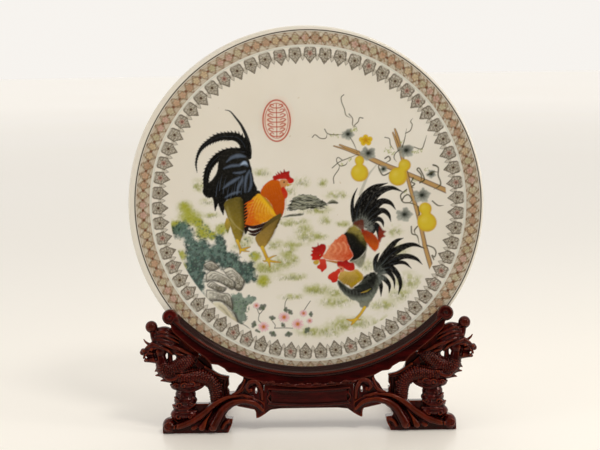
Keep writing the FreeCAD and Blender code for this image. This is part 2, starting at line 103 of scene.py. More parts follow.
def plate_centre():
    """The middle of the rim plane, from the CAD plate's own points."""
    low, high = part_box("plate")
    mesh = frame["nodes"]["plate"].data
    points = np.empty(len(mesh.vertices) * 3)
    mesh.vertices.foreach_get("co", points)
    points = points.reshape(-1, 3)
    up = points @ UP
    ahead = points @ FORWARD
    middle = (up.max() + up.min()) / 2
    rim = ahead.max() - RIM_FRONT_N * MM
    return RIGHT * (low.x + high.x) / 2 + UP * middle + FORWARD * rim


CENTRE = plate_centre()


def place(points):
    """World points, in metres, from (x, w, n) points in millimetres."""
    points = np.asarray(points, float)
    x = points[:, 0:1] * MM
    w = (points[:, 1:2] - PLATE_W) * MM
    n = points[:, 2:3] * MM
    return CENTRE + RIGHT * x + UP * w + FORWARD * n


# ------------------------------------------------------------ painted picture
#
# The picture is painted in millimetres on the dish: x to the right and y up
# from the plate's centre. A stroke is a list of (x, y, half width) points.


def linear(red, green, blue):
    """A colour given as sRGB values from 0 to 255, as linear light."""
    value = np.array([red, green, blue], float) / 255
    return np.where(value <= 0.04045, value / 12.92, ((value + 0.055) / 1.055) ** 2.4)


def smooth_line(points, closed=False, steps=8):
    """Catmull-Rom points through given ones."""
    points = np.array(points, float)
    if closed:
        padded = np.vstack([points[-1:], points, points[:2]])
    else:
        first = 2 * points[0] - points[1]
        last = 2 * points[-1] - points[-2]
        padded = np.vstack([first[None], points, last[None]])
    t = np.linspace(0, 1, steps, endpoint=False)[:, None]
    spans = []
    for a, b, c, d in zip(padded, padded[1:], padded[2:], padded[3:]):
        cubic = 3 * b - a - 3 * c + d
        square = 2 * a - 5 * b + 4 * c - d
        spans.append(b + 0.5 * ((c - a) * t + square * t**2 + cubic * t**3))
    line = np.vstack(spans)
    return line if closed else np.vstack([line, points[-1:]])


NOISE_CELLS = 64
NOISE_SHIFT = 1000.5


def noise(x, y, size, seed):
    """Smooth noise from 0 to 1 with features about size across."""
    grid = np.random.RandomState(seed).rand(NOISE_CELLS, NOISE_CELLS)
    u = x / size + NOISE_SHIFT
    v = y / size + NOISE_SHIFT
    i = np.floor(u).astype(int)
    j = np.floor(v).astype(int)
    fu = u - i
    fv = v - j
    fu = fu * fu * (3 - 2 * fu)
    fv = fv * fv * (3 - 2 * fv)
    left = i % NOISE_CELLS
    right = (i + 1) % NOISE_CELLS
    here = j % NOISE_CELLS
    above = (j + 1) % NOISE_CELLS
    low = grid[here, left] * (1 - fu) + grid[here, right] * fu
    high = grid[above, left] * (1 - fu) + grid[above, right] * fu
    return low * (1 - fv) + high * fv


def mottle(x, y, size, seed):
    """Two layers of noise, from 0 to 1."""
    return 0.62 * noise(x, y, size, seed) + 0.38 * noise(x, y, size * 0.41, seed + 1)


THINNEST_STROKE = 0.02
BARBS_ALONG = 30
WASH_REACH = 1.6


class Canvas:
    """Enamel colour over the glaze: linear rgb, and how much it covers."""

    def __init__(self, reach, pitch):
        count = int(round(2 * reach / pitch)) + 1
        line = np.linspace(-reach, reach, count)
        self.pitch = line[1] - line[0]
        self.reach = reach
        self.x, self.y = np.meshgrid(line, line)
        self.rgb = np.zeros((count, count, 3))
        self.cover = np.zeros((count, count))

    def window(self, x0, x1, y0, y1):
        """The part of the grid inside a box, as slices."""
        count = len(self.cover)

        def index(value, up):
            place = (value + self.reach) / self.pitch
            return int(np.clip(math.ceil(place) if up else math.floor(place), 0, count))

        return np.s_[index(y0, False) : index(y1, True), index(x0, False) : index(x1, True)]

    def lay(self, place, colour, amount):
        """Lays a colour, or a grid of colours, over what is there."""
        if amount.size == 0:
            return
        amount = np.clip(amount, 0, 1)
        below = self.cover[place]
        total = amount + below * (1 - amount)
        share = np.where(total > TINY, amount / np.maximum(total, TINY), 0)[..., None]
        self.rgb[place] = colour * share + self.rgb[place] * (1 - share)
        self.cover[place] = total

    def stroke(self, points, colour, tail=None, cover=1.0, soft=0.0, barbs=0.0, seed=1):
        """A brush stroke whose colour runs from colour to tail along it."""
        line = smooth_line(points)
        wide = line[:, 2].max() + self.pitch + soft
        x0, y0 = line[:, :2].min(0) - wide
        x1, y1 = line[:, :2].max(0) + wide
        place = self.window(x0, x1, y0, y1)
        x = self.x[place]
        y = self.y[place]
        if x.size == 0:
            return
        gap = np.full(x.shape, FAR)
        along = np.zeros(x.shape)
        across = np.zeros(x.shape)
        last = len(line) - 2
        for i, ((ax, ay, ar), (bx, by, br)) in enumerate(zip(line, line[1:])):
            dx = bx - ax
            dy = by - ay
            size = math.hypot(dx, dy) + 1e-9
            t = np.clip(((x - ax) * dx + (y - ay) * dy) / size**2, 0, 1)
            px = x - ax - t * dx
            py = y - ay - t * dy
            radius = np.maximum(ar + (br - ar) * t, THINNEST_STROKE)
            d = np.hypot(px, py) - radius
            near = d < gap
            gap = np.where(near, d, gap)
            along = np.where(near, (i + t) / (last + 1), along)
            across = np.where(near, (px * dy - py * dx) / size / radius, across)
        amount = np.clip(0.5 - gap / (self.pitch + soft), 0, 1) * cover
        if tail is None:
            tail = colour
        shade = along
        if barbs:
            ripple = noise(across * 4 + along * 9, along * BARBS_ALONG, 1.0, seed)
            amount = amount * (1 - barbs * np.clip(ripple - 0.45, 0, 1) * np.abs(across))
            shade = np.clip(along + (ripple - 0.5) * 0.5, 0, 1)
        shade = shade[..., None]
        self.lay(place, colour * (1 - shade) + tail * shade, amount)

    def fill(self, outline, colour, other=None, way=(0, 1), soft=0.3, cover=1.0, grain=0.0,
             size=2.5, seed=3):
        """A filled shape that runs from colour to other along a direction."""
        ring = smooth_line(outline, closed=True, steps=5)
        x0, y0 = ring.min(0) - 2 - soft
        x1, y1 = ring.max(0) + 2 + soft
        place = self.window(x0, x1, y0, y1)
        x = self.x[place]
        y = self.y[place]
        if x.size == 0:
            return
        gap = np.full(x.shape, FAR)
        inside = np.zeros(x.shape, bool)
        for (ax, ay), (bx, by) in zip(ring, np.roll(ring, -1, 0)):
            dx = bx - ax
            dy = by - ay
            size_squared = dx * dx + dy * dy + 1e-12
            t = np.clip(((x - ax) * dx + (y - ay) * dy) / size_squared, 0, 1)
            gap = np.minimum(gap, np.hypot(x - ax - t * dx, y - ay - t * dy))
            crosses = (ay > y) != (by > y)
            if ay != by:
                inside ^= crosses & (x < (bx - ax) * (y - ay) / (by - ay) + ax)
        gap = np.where(inside, -gap, gap)
        rough = mottle(x, y, size, seed) - 0.5
        amount = np.clip(0.5 - (gap + grain * rough) / (self.pitch + soft), 0, 1) * cover
        if other is None:
            other = colour
        travel = x * way[0] + y * way[1]
        ends = ring @ np.array(way, float)
        shade = (travel - ends.min()) / (np.ptp(ends) + 1e-9)
        shade = np.clip(shade + rough * grain * 0.5, 0, 1)[..., None]
        self.lay(place, colour * (1 - shade) + other * shade, amount)

    def wash(self, x, y, wide, high, colour, strength=0.6, size=5.0, seed=5):
        """A soft uneven patch of thin colour."""
        reach_x = WASH_REACH * wide
        reach_y = WASH_REACH * high
        place = self.window(x - reach_x, x + reach_x, y - reach_y, y + reach_y)
        gx = self.x[place]
        gy = self.y[place]
        if gx.size == 0:
            return
        spread = np.exp(-1.4 * (((gx - x) / wide) ** 2 + ((gy - y) / high) ** 2))
        patch = np.clip(1.9 * mottle(gx, gy, size, seed) - 0.42, 0, 1)
        edge = np.clip(spread * 1.35 - 0.12, 0, 1)
        self.lay(place, colour, strength * edge * patch)

    def dot(self, x, y, radius, colour, cover=1.0, soft=0.0):
        """A round dab."""
        self.stroke([(x, y, radius), (x + 0.01, y, radius)], colour, cover=cover, soft=soft)

    def tufts(self, x, y, wide, high, colour, count, seed, tall=2.4, cover=0.7):
        """Short upright grass strokes scattered over a patch."""
        pick = np.random.RandomState(seed)
        for _ in range(count):
            bx = x + wide * pick.uniform(-1, 1) * 0.9
            by = y + high * pick.uniform(-1, 1) * 0.8
            lean = pick.uniform(-0.7, 0.7)
            rise = tall * pick.uniform(0.5, 1.1)
            blade = [(bx, by, 0.28), (bx + lean * 0.4, by + rise * 0.6, 0.2),
                     (bx + lean, by + rise, 0.05)]
            self.stroke(blade, colour, cover=cover)

    def dabs(self, disc, colour, other, count, seed, size=1.0, cover=0.8):
        """Small round leaf dabs scattered in a disc (x, y, radius)."""
        cx, cy, reach = disc
        pick = np.random.RandomState(seed)
        for _ in range(count):
            turn = pick.uniform(0, TURN)
            far = reach * math.sqrt(pick.uniform(0, 1))
            shade = pick.uniform(0, 1)
            x = cx + far * math.cos(turn)
            y = cy + far * math.sin(turn) * 0.85
            mixed = colour * (1 - shade) + other * shade
            self.dot(x, y, size * pick.uniform(0.5, 1.0), mixed, cover=cover, soft=0.3)


INK = linear(14, 13, 11)
NEAR_BLACK = linear(27, 26, 22)
BLUE_GREY = linear(118, 134, 158)
PALE_GREY = linear(196, 198, 196)
DEEP_RED = linear(150, 26, 24)
BRIGHT_RED = linear(196, 36, 26)
SEAL_RED = linear(190, 78, 52)
SEAL_WASH = linear(226, 158, 122)
ORANGE = linear(220, 112, 26)
DEEP_ORANGE = linear(196, 82, 22)
PALE_GOLD = linear(244, 214, 120)
OLIVE = linear(120, 118, 52)
OCHRE = linear(196, 160, 62)
LEG_YELLOW = linear(214, 178, 56)
TAN = linear(190, 152, 96)
BARK = linear(104, 78, 58)
GOURD = linear(216, 190, 52)
GOURD_DEEP = linear(206, 166, 44)
VINE = linear(64, 62, 40)
PINK = linear(222, 162, 170)
PALE_PINK = linear(238, 204, 206)
TEAL = linear(84, 112, 104)
TEAL_DARK = linear(40, 64, 60)
SHRUB = linear(170, 171, 62)
GRASS = linear(176, 178, 100)
GRASS_DARK = linear(122, 127, 62)
STONE = linear(216, 212, 196)
STONE_DARK = linear(96, 94, 88)
MAROON = linear(96, 28, 22)


def paint_feather(canvas, points, dark, root=None, seed=1, fuller=1.0, jagged=False):
    """A long tail feather, with a lighter root, a thin quill or jagged edges."""
    points = [(x, y, half * fuller) for x, y, half in points]
    canvas.stroke(points, dark, dark, barbs=0.3, seed=seed)
    if root is not None:
        (ax, ay, ah), (bx, by, bh) = points[:2]
        canvas.stroke([(ax, ay, ah * 0.7), (bx, by, bh * 0.25)], root, dark, cover=0.75, soft=1.6)
    if jagged:
        line = smooth_line(points, steps=3)
        for before, spot, after in zip(line[:-2], line[1:-1], line[2:]):
            x, y, half = spot
            dx, dy = (after - before)[:2] / np.linalg.norm((after - before)[:2])
            for side in (-1, 1):
                tip = (x + half * (dx * 1.3 - side * dy * 1.3), y + half * (dy * 1.3 + side * dx * 1.3))
                canvas.stroke([(x, y, half * 0.6), (*tip, 0.1)], dark)
    quill = [(x, y, 0.16) for x, y, _ in points[:-1]]
    canvas.stroke(quill, BLUE_GREY, dark, cover=0.22)


def paint_big_tail(canvas):
    """The tall bird's black tail: three long arching feathers and a sheen."""
    arch = [(-79, 94, 0.3), (-74, 92.5, 0.6), (-68.5, 86, 1.0), (-63.5, 79, 1.3), (-59.5, 70.5, 1.7),
            (-56.5, 61.5, 1.9), (-55.5, 53.5, 2.1), (-56, 47, 2.3)]
    plume = [(-58.5, 50.5, 3.4), (-61.5, 60.5, 3.9), (-67.5, 66.5, 3.7), (-76, 68, 3.3),
             (-86.5, 67, 3.1), (-96.5, 62, 2.2), (-103, 56.5, 1.6), (-107, 49.5, 1.1),
             (-109, 40.5, 0.8), (-108, 32, 0.2)]
    under = [(-60.5, 52.5, 3.8), (-74, 52.5, 3.9), (-84, 49.5, 3.8), (-92, 43, 3.5),
             (-97.5, 34, 3.1), (-99.5, 24, 2.8), (-99, 13.5, 2.6), (-96.5, 8, 1.6)]
    paint_feather(canvas, arch, INK, seed=11)
    paint_feather(canvas, plume, INK, seed=12, fuller=1.15, jagged=True)
    paint_feather(canvas, under, INK, seed=13, jagged=True)
    mass = [(-85, 50.5), (-72, 55), (-58.5, 48), (-54, 36), (-52, 24.5), (-48.5, 13.5), (-53, 7),
            (-59.5, 0), (-77.5, 4.5), (-81.5, -4.5), (-83, -11), (-87, -2), (-88, 0.5), (-91, -6.5),
            (-92.5, 2.5), (-94, 7), (-100.5, 8), (-103, 13.5), (-100.5, 19.5), (-94, 24.5),
            (-89, 31.5), (-87, 41.5)]
    canvas.fill(mass, INK, NEAR_BLACK, grain=0.8)
    sheen = [
        [(-78.5, 42.5, 0.4), (-73, 47, 1.5), (-66, 48.5, 1.9), (-60, 47.5, 0.6)],
        [(-81.5, 36, 0.4), (-74, 38.5, 1.3), (-66, 39, 1.1)],
        [(-82.5, 16, 0.4), (-77.5, 20, 1.3), (-72, 23.5, 1.6), (-66, 27, 0.8)],
        [(-69, 10, 0.4), (-67.5, 17, 1.1), (-64, 23.5, 1.3), (-63, 28, 0.5)],
        [(-61, 12.5, 0.4), (-60.5, 20, 1.1), (-59, 28, 1.3), (-56, 33.5, 0.6)],
        [(-57.5, 12.5, 0.5), (-55, 18, 1.1), (-54.5, 24.5, 0.9), (-55, 31.5, 0.5)],
        [(-72, 31.5, 0.4), (-66, 31.5, 1.1), (-60.5, 33, 0.6)],
        [(-80.5, 7, 0.3), (-74, 10.5, 1.0), (-66, 12.5, 0.5)],
        [(-64.5, 40.5, 0.8), (-61, 41, 2.1), (-58, 38.5, 0.9)],
    ]
    for seed, line in enumerate(sheen):
        canvas.stroke(line, BLUE_GREY, BLUE_GREY, cover=0.5, soft=1.4, barbs=1.2, seed=seed + 31)
    canvas.stroke([(-64.5, 39.5, 0.4), (-61, 41.5, 1.5), (-58.5, 40, 0.5)], linear(168, 188, 214),
                  cover=0.85, soft=0.8)
    for step in range(9):
        x = -90 + 3.6 * step
        root = 20 + 6 * math.sin(step * 1.3)
        canvas.stroke([(x, root - 12, 0.2), (x + 1.5, root - 2, 0.3), (x + 4, root + 7, 0.1)],
                      BLUE_GREY, INK, cover=0.4)


def paint_big_thigh(canvas):
    """The tall bird's shaded flank, and its far leg's olive thigh."""
    shadow = [(-68.5, 7), (-58.5, 11.5), (-47, 13.5), (-45, 7), (-55, 2.5), (-58.5, -4.5),
              (-58.5, -17.5), (-57.5, -23.5), (-61.5, -30), (-64, -14.5), (-66.5, -3)]
    canvas.fill(shadow, INK, NEAR_BLACK)
    thigh = [(-81.5, 1), (-77.5, 5), (-65, 6.5), (-61.5, -4.5), (-61, -17.5), (-63.5, -30),
             (-66.5, -37.5), (-70, -37.5), (-73.5, -30), (-76, -22), (-79, -12), (-81.5, -4.5)]
    canvas.fill(thigh, linear(150, 128, 44), linear(96, 84, 34), way=(0.25, 1), grain=0.7, size=1.8)
    canvas.stroke([(-62.5, 4, 2.0), (-61.5, -8, 2.8), (-61.5, -20, 2.2), (-64, -30, 0.8)],
                  linear(24, 20, 10), cover=0.92, soft=4.2)
    canvas.stroke([(-79, -3, 0.6), (-76, -14, 1.1), (-72, -24, 0.6)], linear(168, 156, 92), cover=0.5,
                  soft=2.6)
    canvas.stroke([(-77, -13, 0.3), (-70, -22, 0.5), (-62, -28.5, 0.3)], linear(190, 180, 120),
                  cover=0.5, soft=0.7)
    canvas.fill([(-79, -13.5), (-76, -20), (-77.5, -25.5), (-79, -28.5), (-81.5, -22), (-81, -16.5)],
                OLIVE, OCHRE, grain=1.2)
    for step in range(7):
        y = 2 - 5.2 * step
        barb = [(-78 + 1.6 * step, y, 0.3), (-73 + step, y - 3, 0.5), (-68 + 0.6 * step, y - 2, 0.2)]
        canvas.stroke(barb, linear(112, 98, 40), cover=0.35, soft=0.8)


def paint_big_hackle(canvas):
    """The tall bird's orange and gold hackle, and its red-brown neck."""
    hackle = [(-48, 10), (-42.5, 8), (-37, 2.5), (-32.5, -5), (-29, -11), (-38.5, -17.5),
              (-50, -21.5), (-59.5, -22), (-61, -18.5), (-57.5, -10), (-59.5, -2), (-55, 4)]
    canvas.stroke([(-56.5, -1, 1.0), (-57.2, -9, 1.7), (-57.2, -17, 1.0)], linear(150, 62, 14))
    canvas.fill(hackle, linear(206, 82, 16), linear(234, 176, 34), way=(0.8, 0.6), grain=1.2, size=1.8)
    for step in range(8):
        y = 2 - 3.2 * step
        canvas.stroke([(-53, y + 1.6, 0.9), (-58.5, y - 0.6, 0.7), (-62, y - 2.6, 0.1)],
                      linear(216, 96, 20), cover=0.9)
    canvas.stroke([(-47, 9, 0.8), (-41, 2, 2.4), (-35, -6, 2.6), (-30.5, -11.5, 0.8)],
                  linear(236, 184, 36), cover=0.85, soft=2.2)
    for step in range(15):
        share = step / 14
        root = (-50 + 14 * share, 7 - 12 * share)
        tip = (-60 + 29 * share, -21 + 5 * math.sin(share * 3) + 5 * share)
        mid = ((root[0] + tip[0]) / 2 - 1.5, (root[1] + tip[1]) / 2)
        tone = DEEP_ORANGE if step % 2 else PALE_GOLD
        canvas.stroke([(*root, 0.2), (*mid, 0.5), (*tip, 0.1)], tone, DEEP_ORANGE, cover=0.34, soft=0.5)
    neck = [(-44.5, 14.5), (-40.5, 20), (-34, 24), (-26, 23), (-22, 13.5), (-21, 2.5), (-22, -7.5),
            (-26, -14.5), (-31, -10), (-34, -2), (-39.5, 5.5), (-45, 9)]
    canvas.stroke([(-43, 8, 0.5), (-38, 2, 0.9), (-33, -4.5, 0.6)], linear(112, 92, 50), cover=0.7,
                  soft=1.8)
    canvas.fill(neck, linear(174, 70, 4), linear(204, 96, 14), way=(-0.2, 1), grain=0.6)
    for step in range(9):
        share = step / 8
        x = -43 + 20 * share
        barb = [(x, 19 - 3 * share, 0.2), (x + 3.2, 8 - 4 * share, 0.5),
                (x + 8 - 6 * share, -6 - 4 * share, 0.1)]
        canvas.stroke(barb, linear(150, 52, 10), DEEP_ORANGE, cover=0.3, soft=0.6)


def paint_big_breast(canvas):
    """The tall bird's barred wing tips, breast, near leg and feet."""
    bars = [
        [(-61, -21, 0.6), (-53, -23.5, 1.8), (-41.5, -20.5, 1.7), (-32.5, -15.5, 0.7)],
        [(-60, -25.5, 0.6), (-53, -28, 1.7), (-44, -24.5, 1.3), (-38.5, -21, 0.4)],
        [(-57.5, -30, 0.6), (-51.5, -31, 1.3), (-46, -28, 0.6)],
    ]
    for bar in bars:
        canvas.stroke(bar, linear(46, 14, 12), linear(30, 16, 12), barbs=0.4)
    leg = [(-51, -33), (-44, -26.5), (-37, -21), (-28, -15.5), (-30, -21), (-33, -30),
           (-38.5, -39), (-42.5, -44), (-46.5, -43.5), (-50, -39)]
    breast = [(-39.5, -18.5), (-29, -11), (-24.5, -11), (-27, -18.5), (-31, -25.5), (-39.5, -28),
              (-48.5, -31), (-44, -24.5)]
    canvas.fill(breast, linear(84, 60, 28), linear(96, 84, 40), grain=1.0)
    canvas.fill(leg, linear(164, 132, 60), linear(120, 98, 46), way=(0.2, 1), grain=0.8, size=1.8)
    canvas.stroke([(-30, -20, 0.8), (-33, -29, 1.2), (-39, -39, 0.8)], linear(92, 74, 34), cover=0.6,
                  soft=1.8)
    shanks = [
        [(-69.5, -36.5, 1.6), (-67.5, -41.5, 1.2), (-66, -46, 1.3)],
        [(-66, -46, 1.1), (-61.5, -44.5, 0.9), (-56.5, -43, 0.3)],
        [(-66, -45.5, 1), (-66.5, -48, 0.8), (-67, -50, 0.2)],
        [(-66, -46, 0.9), (-61.5, -47, 0.7), (-57.5, -47.5, 0.2)],
        [(-44.5, -43.5, 1.7), (-42, -49.5, 1.5), (-39.5, -55.5, 1.6)],
        [(-39.5, -56.5, 1.3), (-34, -58, 1), (-26.5, -59, 0.3)],
        [(-39.5, -56.5, 1.1), (-37.5, -60, 0.9), (-37, -63.5, 0.2)],
        [(-39.5, -56.5, 0.9), (-42, -57.5, 0.7), (-44, -57, 0.2)],
        [(-39, -55.5, 0.9), (-34, -53, 0.6), (-30.5, -52, 0.2)],
    ]
    paint_shanks(canvas, shanks)


def paint_big_head(canvas):
    """The tall bird's red comb, face, beak and wattle."""
    comb = [(-33, 26), (-32, 28.5), (-29.5, 28.5), (-30, 30.5), (-27.5, 29), (-28, 32), (-25, 30),
            (-25.5, 33), (-22.5, 31.5), (-21.5, 34.5), (-20, 32.5), (-16, 32.5), (-16, 29),
            (-14.5, 26), (-12, 24.5), (-12, 21.5), (-15, 20), (-18, 21.5), (-19.5, 24), (-25, 24.5),
            (-31, 23.5)]
    canvas.fill(comb, BRIGHT_RED, DEEP_RED, grain=0.8)
    canvas.fill([(-26, 23), (-21.5, 24.5), (-18, 22.5), (-18, 19.5), (-20, 17), (-23, 15), (-25, 18)],
                linear(206, 140, 84), grain=0.6)
    canvas.fill([(-18.5, 20), (-16, 19.5), (-13.5, 19), (-16, 18), (-18.5, 17)], OCHRE)
    canvas.fill([(-22.5, 17), (-20, 14.5), (-18, 10), (-19, 6), (-21.5, 5), (-23, 9), (-24.5, 14.5)],
                linear(196, 66, 26), BRIGHT_RED)
    canvas.dot(-21.5, 21.5, 0.8, INK)


def paint_big_bird(canvas):
    """The tall bird on the left."""
    paint_big_tail(canvas)
    paint_big_thigh(canvas)
    paint_big_hackle(canvas)
    paint_big_breast(canvas)
    paint_big_head(canvas)


def paint_shanks(canvas, strokes):
    """Yellow legs and toes with a darker edge."""
    for line in strokes:
        canvas.stroke([(x, y, half + 0.35) for x, y, half in line], BARK, cover=0.6)
    for line in strokes:
        canvas.stroke(line, LEG_YELLOW, linear(196, 150, 46))


def paint_middle_tail(canvas):
    """The sprung black tail of the bird behind, with a grey root."""
    feathers = [
        [(48, -18.5, 1.7), (46.5, -7, 1.6), (47.5, 4.5, 1.1), (52, 14.5, 0.2)],
        [(50, -20.5, 2.5), (52, -7, 3.2), (58, 5, 3.2), (68.5, 14.5, 2.3), (82.5, 19, 0.2)],
        [(56, -18.5, 3.6), (62, -2.5, 4.4), (72.5, 9.5, 3.4), (85.5, 14, 1.9), (97, 10, 0.2)],
        [(57, -18.5, 3.2), (66.5, -7, 3.7), (76, 0.5, 2.7), (84.5, -1, 1.7), (90, -8, 0.2)],
        [(59, -20.5, 2.9), (67.5, -12.5, 3.2), (76.5, -8.5, 2.3), (82.5, -12.5, 1.6), (85, -20, 0.2)],
        [(61, -23, 2.7), (67.5, -17.5, 2.5), (73, -17, 2.0), (76.5, -20, 1.3), (77.5, -25, 0.2)],
        [(64.5, -29, 3.4), (68.5, -24, 3.4), (72, -27, 2.3), (73, -35.5, 1.3), (72, -40.5, 0.3)],
    ]
    for seed, feather in enumerate(feathers):
        paint_feather(canvas, feather, INK, linear(52, 54, 50), seed + 51, 1.22)
    canvas.fill([(47.5, -21.5), (51.5, -14.5), (58, -12), (64.5, -17.5), (66.5, -27), (62, -31),
                 (57, -31), (49.5, -25)], linear(150, 154, 146), linear(60, 62, 58), grain=3.0,
                size=1.6, cover=0.6, soft=2.0)
    for step in range(7):
        tip = (55 + 2.6 * step, -6 - 2.0 * step)
        canvas.stroke([(53 + 1.2 * step, -24, 0.3), (*tip, 0.15)], linear(176, 180, 170),
                      linear(60, 62, 58), cover=0.45, soft=0.5)
    canvas.fill([(47, -23), (49.5, -19), (56, -17.5), (58, -21.5), (57, -28), (51.5, -25)],
                linear(96, 40, 22), grain=1.6, soft=1.2, cover=0.9)


def paint_middle_bird(canvas):
    """The bird behind: salmon hackle, black back, dark red saddle."""
    paint_middle_tail(canvas)
    canvas.fill([(37, -33), (43, -28.5), (50.5, -32), (57, -38.5), (60, -45), (58, -50),
                 (51.5, -56.5), (43, -59), (46.5, -53.5), (43.5, -46), (40, -38.5)], INK, NEAR_BLACK)
    canvas.fill([(40, -29), (46.5, -23), (51.5, -25), (57, -31), (61, -39.5), (59.5, -45),
                 (53.5, -39.5), (47.5, -32)], linear(40, 38, 18), linear(150, 136, 66),
                way=(0.2, 1), grain=1.3, soft=1.6)
    canvas.stroke([(39.5, -31, 0.6), (47.5, -33.5, 1.6), (53.5, -40.5, 1.8), (59, -46.5, 0.8)],
                  linear(34, 32, 14), cover=0.7, soft=3.4)
    canvas.fill([(60, -45), (58.5, -56.5), (54, -65.5), (47.5, -61.5), (43, -59), (51.5, -56.5),
                 (58, -50)], linear(146, 146, 122), linear(40, 42, 32), grain=1.4, cover=0.9,
                soft=1.2)
    canvas.fill([(73.5, -24), (77, -28), (80, -29.5), (77.5, -32), (79, -34.5), (75.5, -36.5),
                 (73.5, -40.5), (72, -35.5)], linear(152, 56, 36), linear(104, 36, 24), grain=0.8,
                soft=0.9)
    canvas.fill([(55, -27.5), (62, -29), (70, -34.5), (73, -40.5), (71.5, -46), (68.5, -49.5),
                 (64.5, -46), (61, -41.5), (58, -35.5)], linear(196, 84, 24), linear(136, 34, 18),
                way=(-0.4, 1), grain=1.0, soft=0.8)
    for step in range(7):
        x = 56.5 + 1.9 * step
        canvas.stroke([(x, -29 - 0.9 * step, 0.2), (x + 2.5, -36 - step, 0.5), (x + 5, -42 - step, 0.1)],
                      MAROON, ORANGE, cover=0.5)
    canvas.fill([(37.5, -32), (30.5, -36), (23.5, -43), (19.5, -49.5), (16, -53), (19.5, -57),
                 (28.5, -58), (38, -59), (43, -57.5), (46.5, -53), (43.5, -46), (41, -39.5)],
                linear(226, 142, 100), linear(202, 72, 34), way=(1, 0.1), grain=1.6, soft=0.8)
    for ring in range(4):
        reach = 8 + 5.4 * ring
        arc = [(16 + reach * math.cos(turn), -46 - reach * 0.5 * math.sin(turn), 0.8)
               for turn in np.radians((-42 + 4 * ring, -20, 0, 20, 38 - 6 * ring))]
        canvas.stroke(arc, linear(240, 178, 132), linear(236, 150, 104), cover=0.6, soft=1.2)
    canvas.stroke([(19.5, -58, 0.4), (25.5, -59, 0.9), (31.5, -60, 1.3), (37, -59.5, 0.6)],
                  linear(182, 120, 60))
    canvas.fill([(19.5, -46), (18.5, -42), (15, -41), (12.5, -42.5), (11.5, -40), (11, -43), (8, -44),
                 (5, -44.5), (6.5, -47), (4.5, -48), (6, -50), (3.5, -52), (5.5, -54), (5, -56.5),
                 (8, -57.5), (12, -57.5), (14, -55.5), (16, -53)], BRIGHT_RED, DEEP_RED, grain=0.7)
    canvas.fill([(12.5, -56.5), (18.5, -56.5), (19.5, -60), (20, -65), (17.5, -67.5), (15, -69.5),
                 (13.5, -67), (10.5, -65.5), (10.5, -63), (13, -61)], BRIGHT_RED, linear(206, 70, 50))
    canvas.fill([(12, -57.5), (7.5, -58), (6.5, -60), (9, -62), (12, -60.5)], OCHRE)
    canvas.dot(13.4, -52.4, 0.8, INK)
    canvas.dot(13.4, -52.4, 0.35, PALE_GOLD)


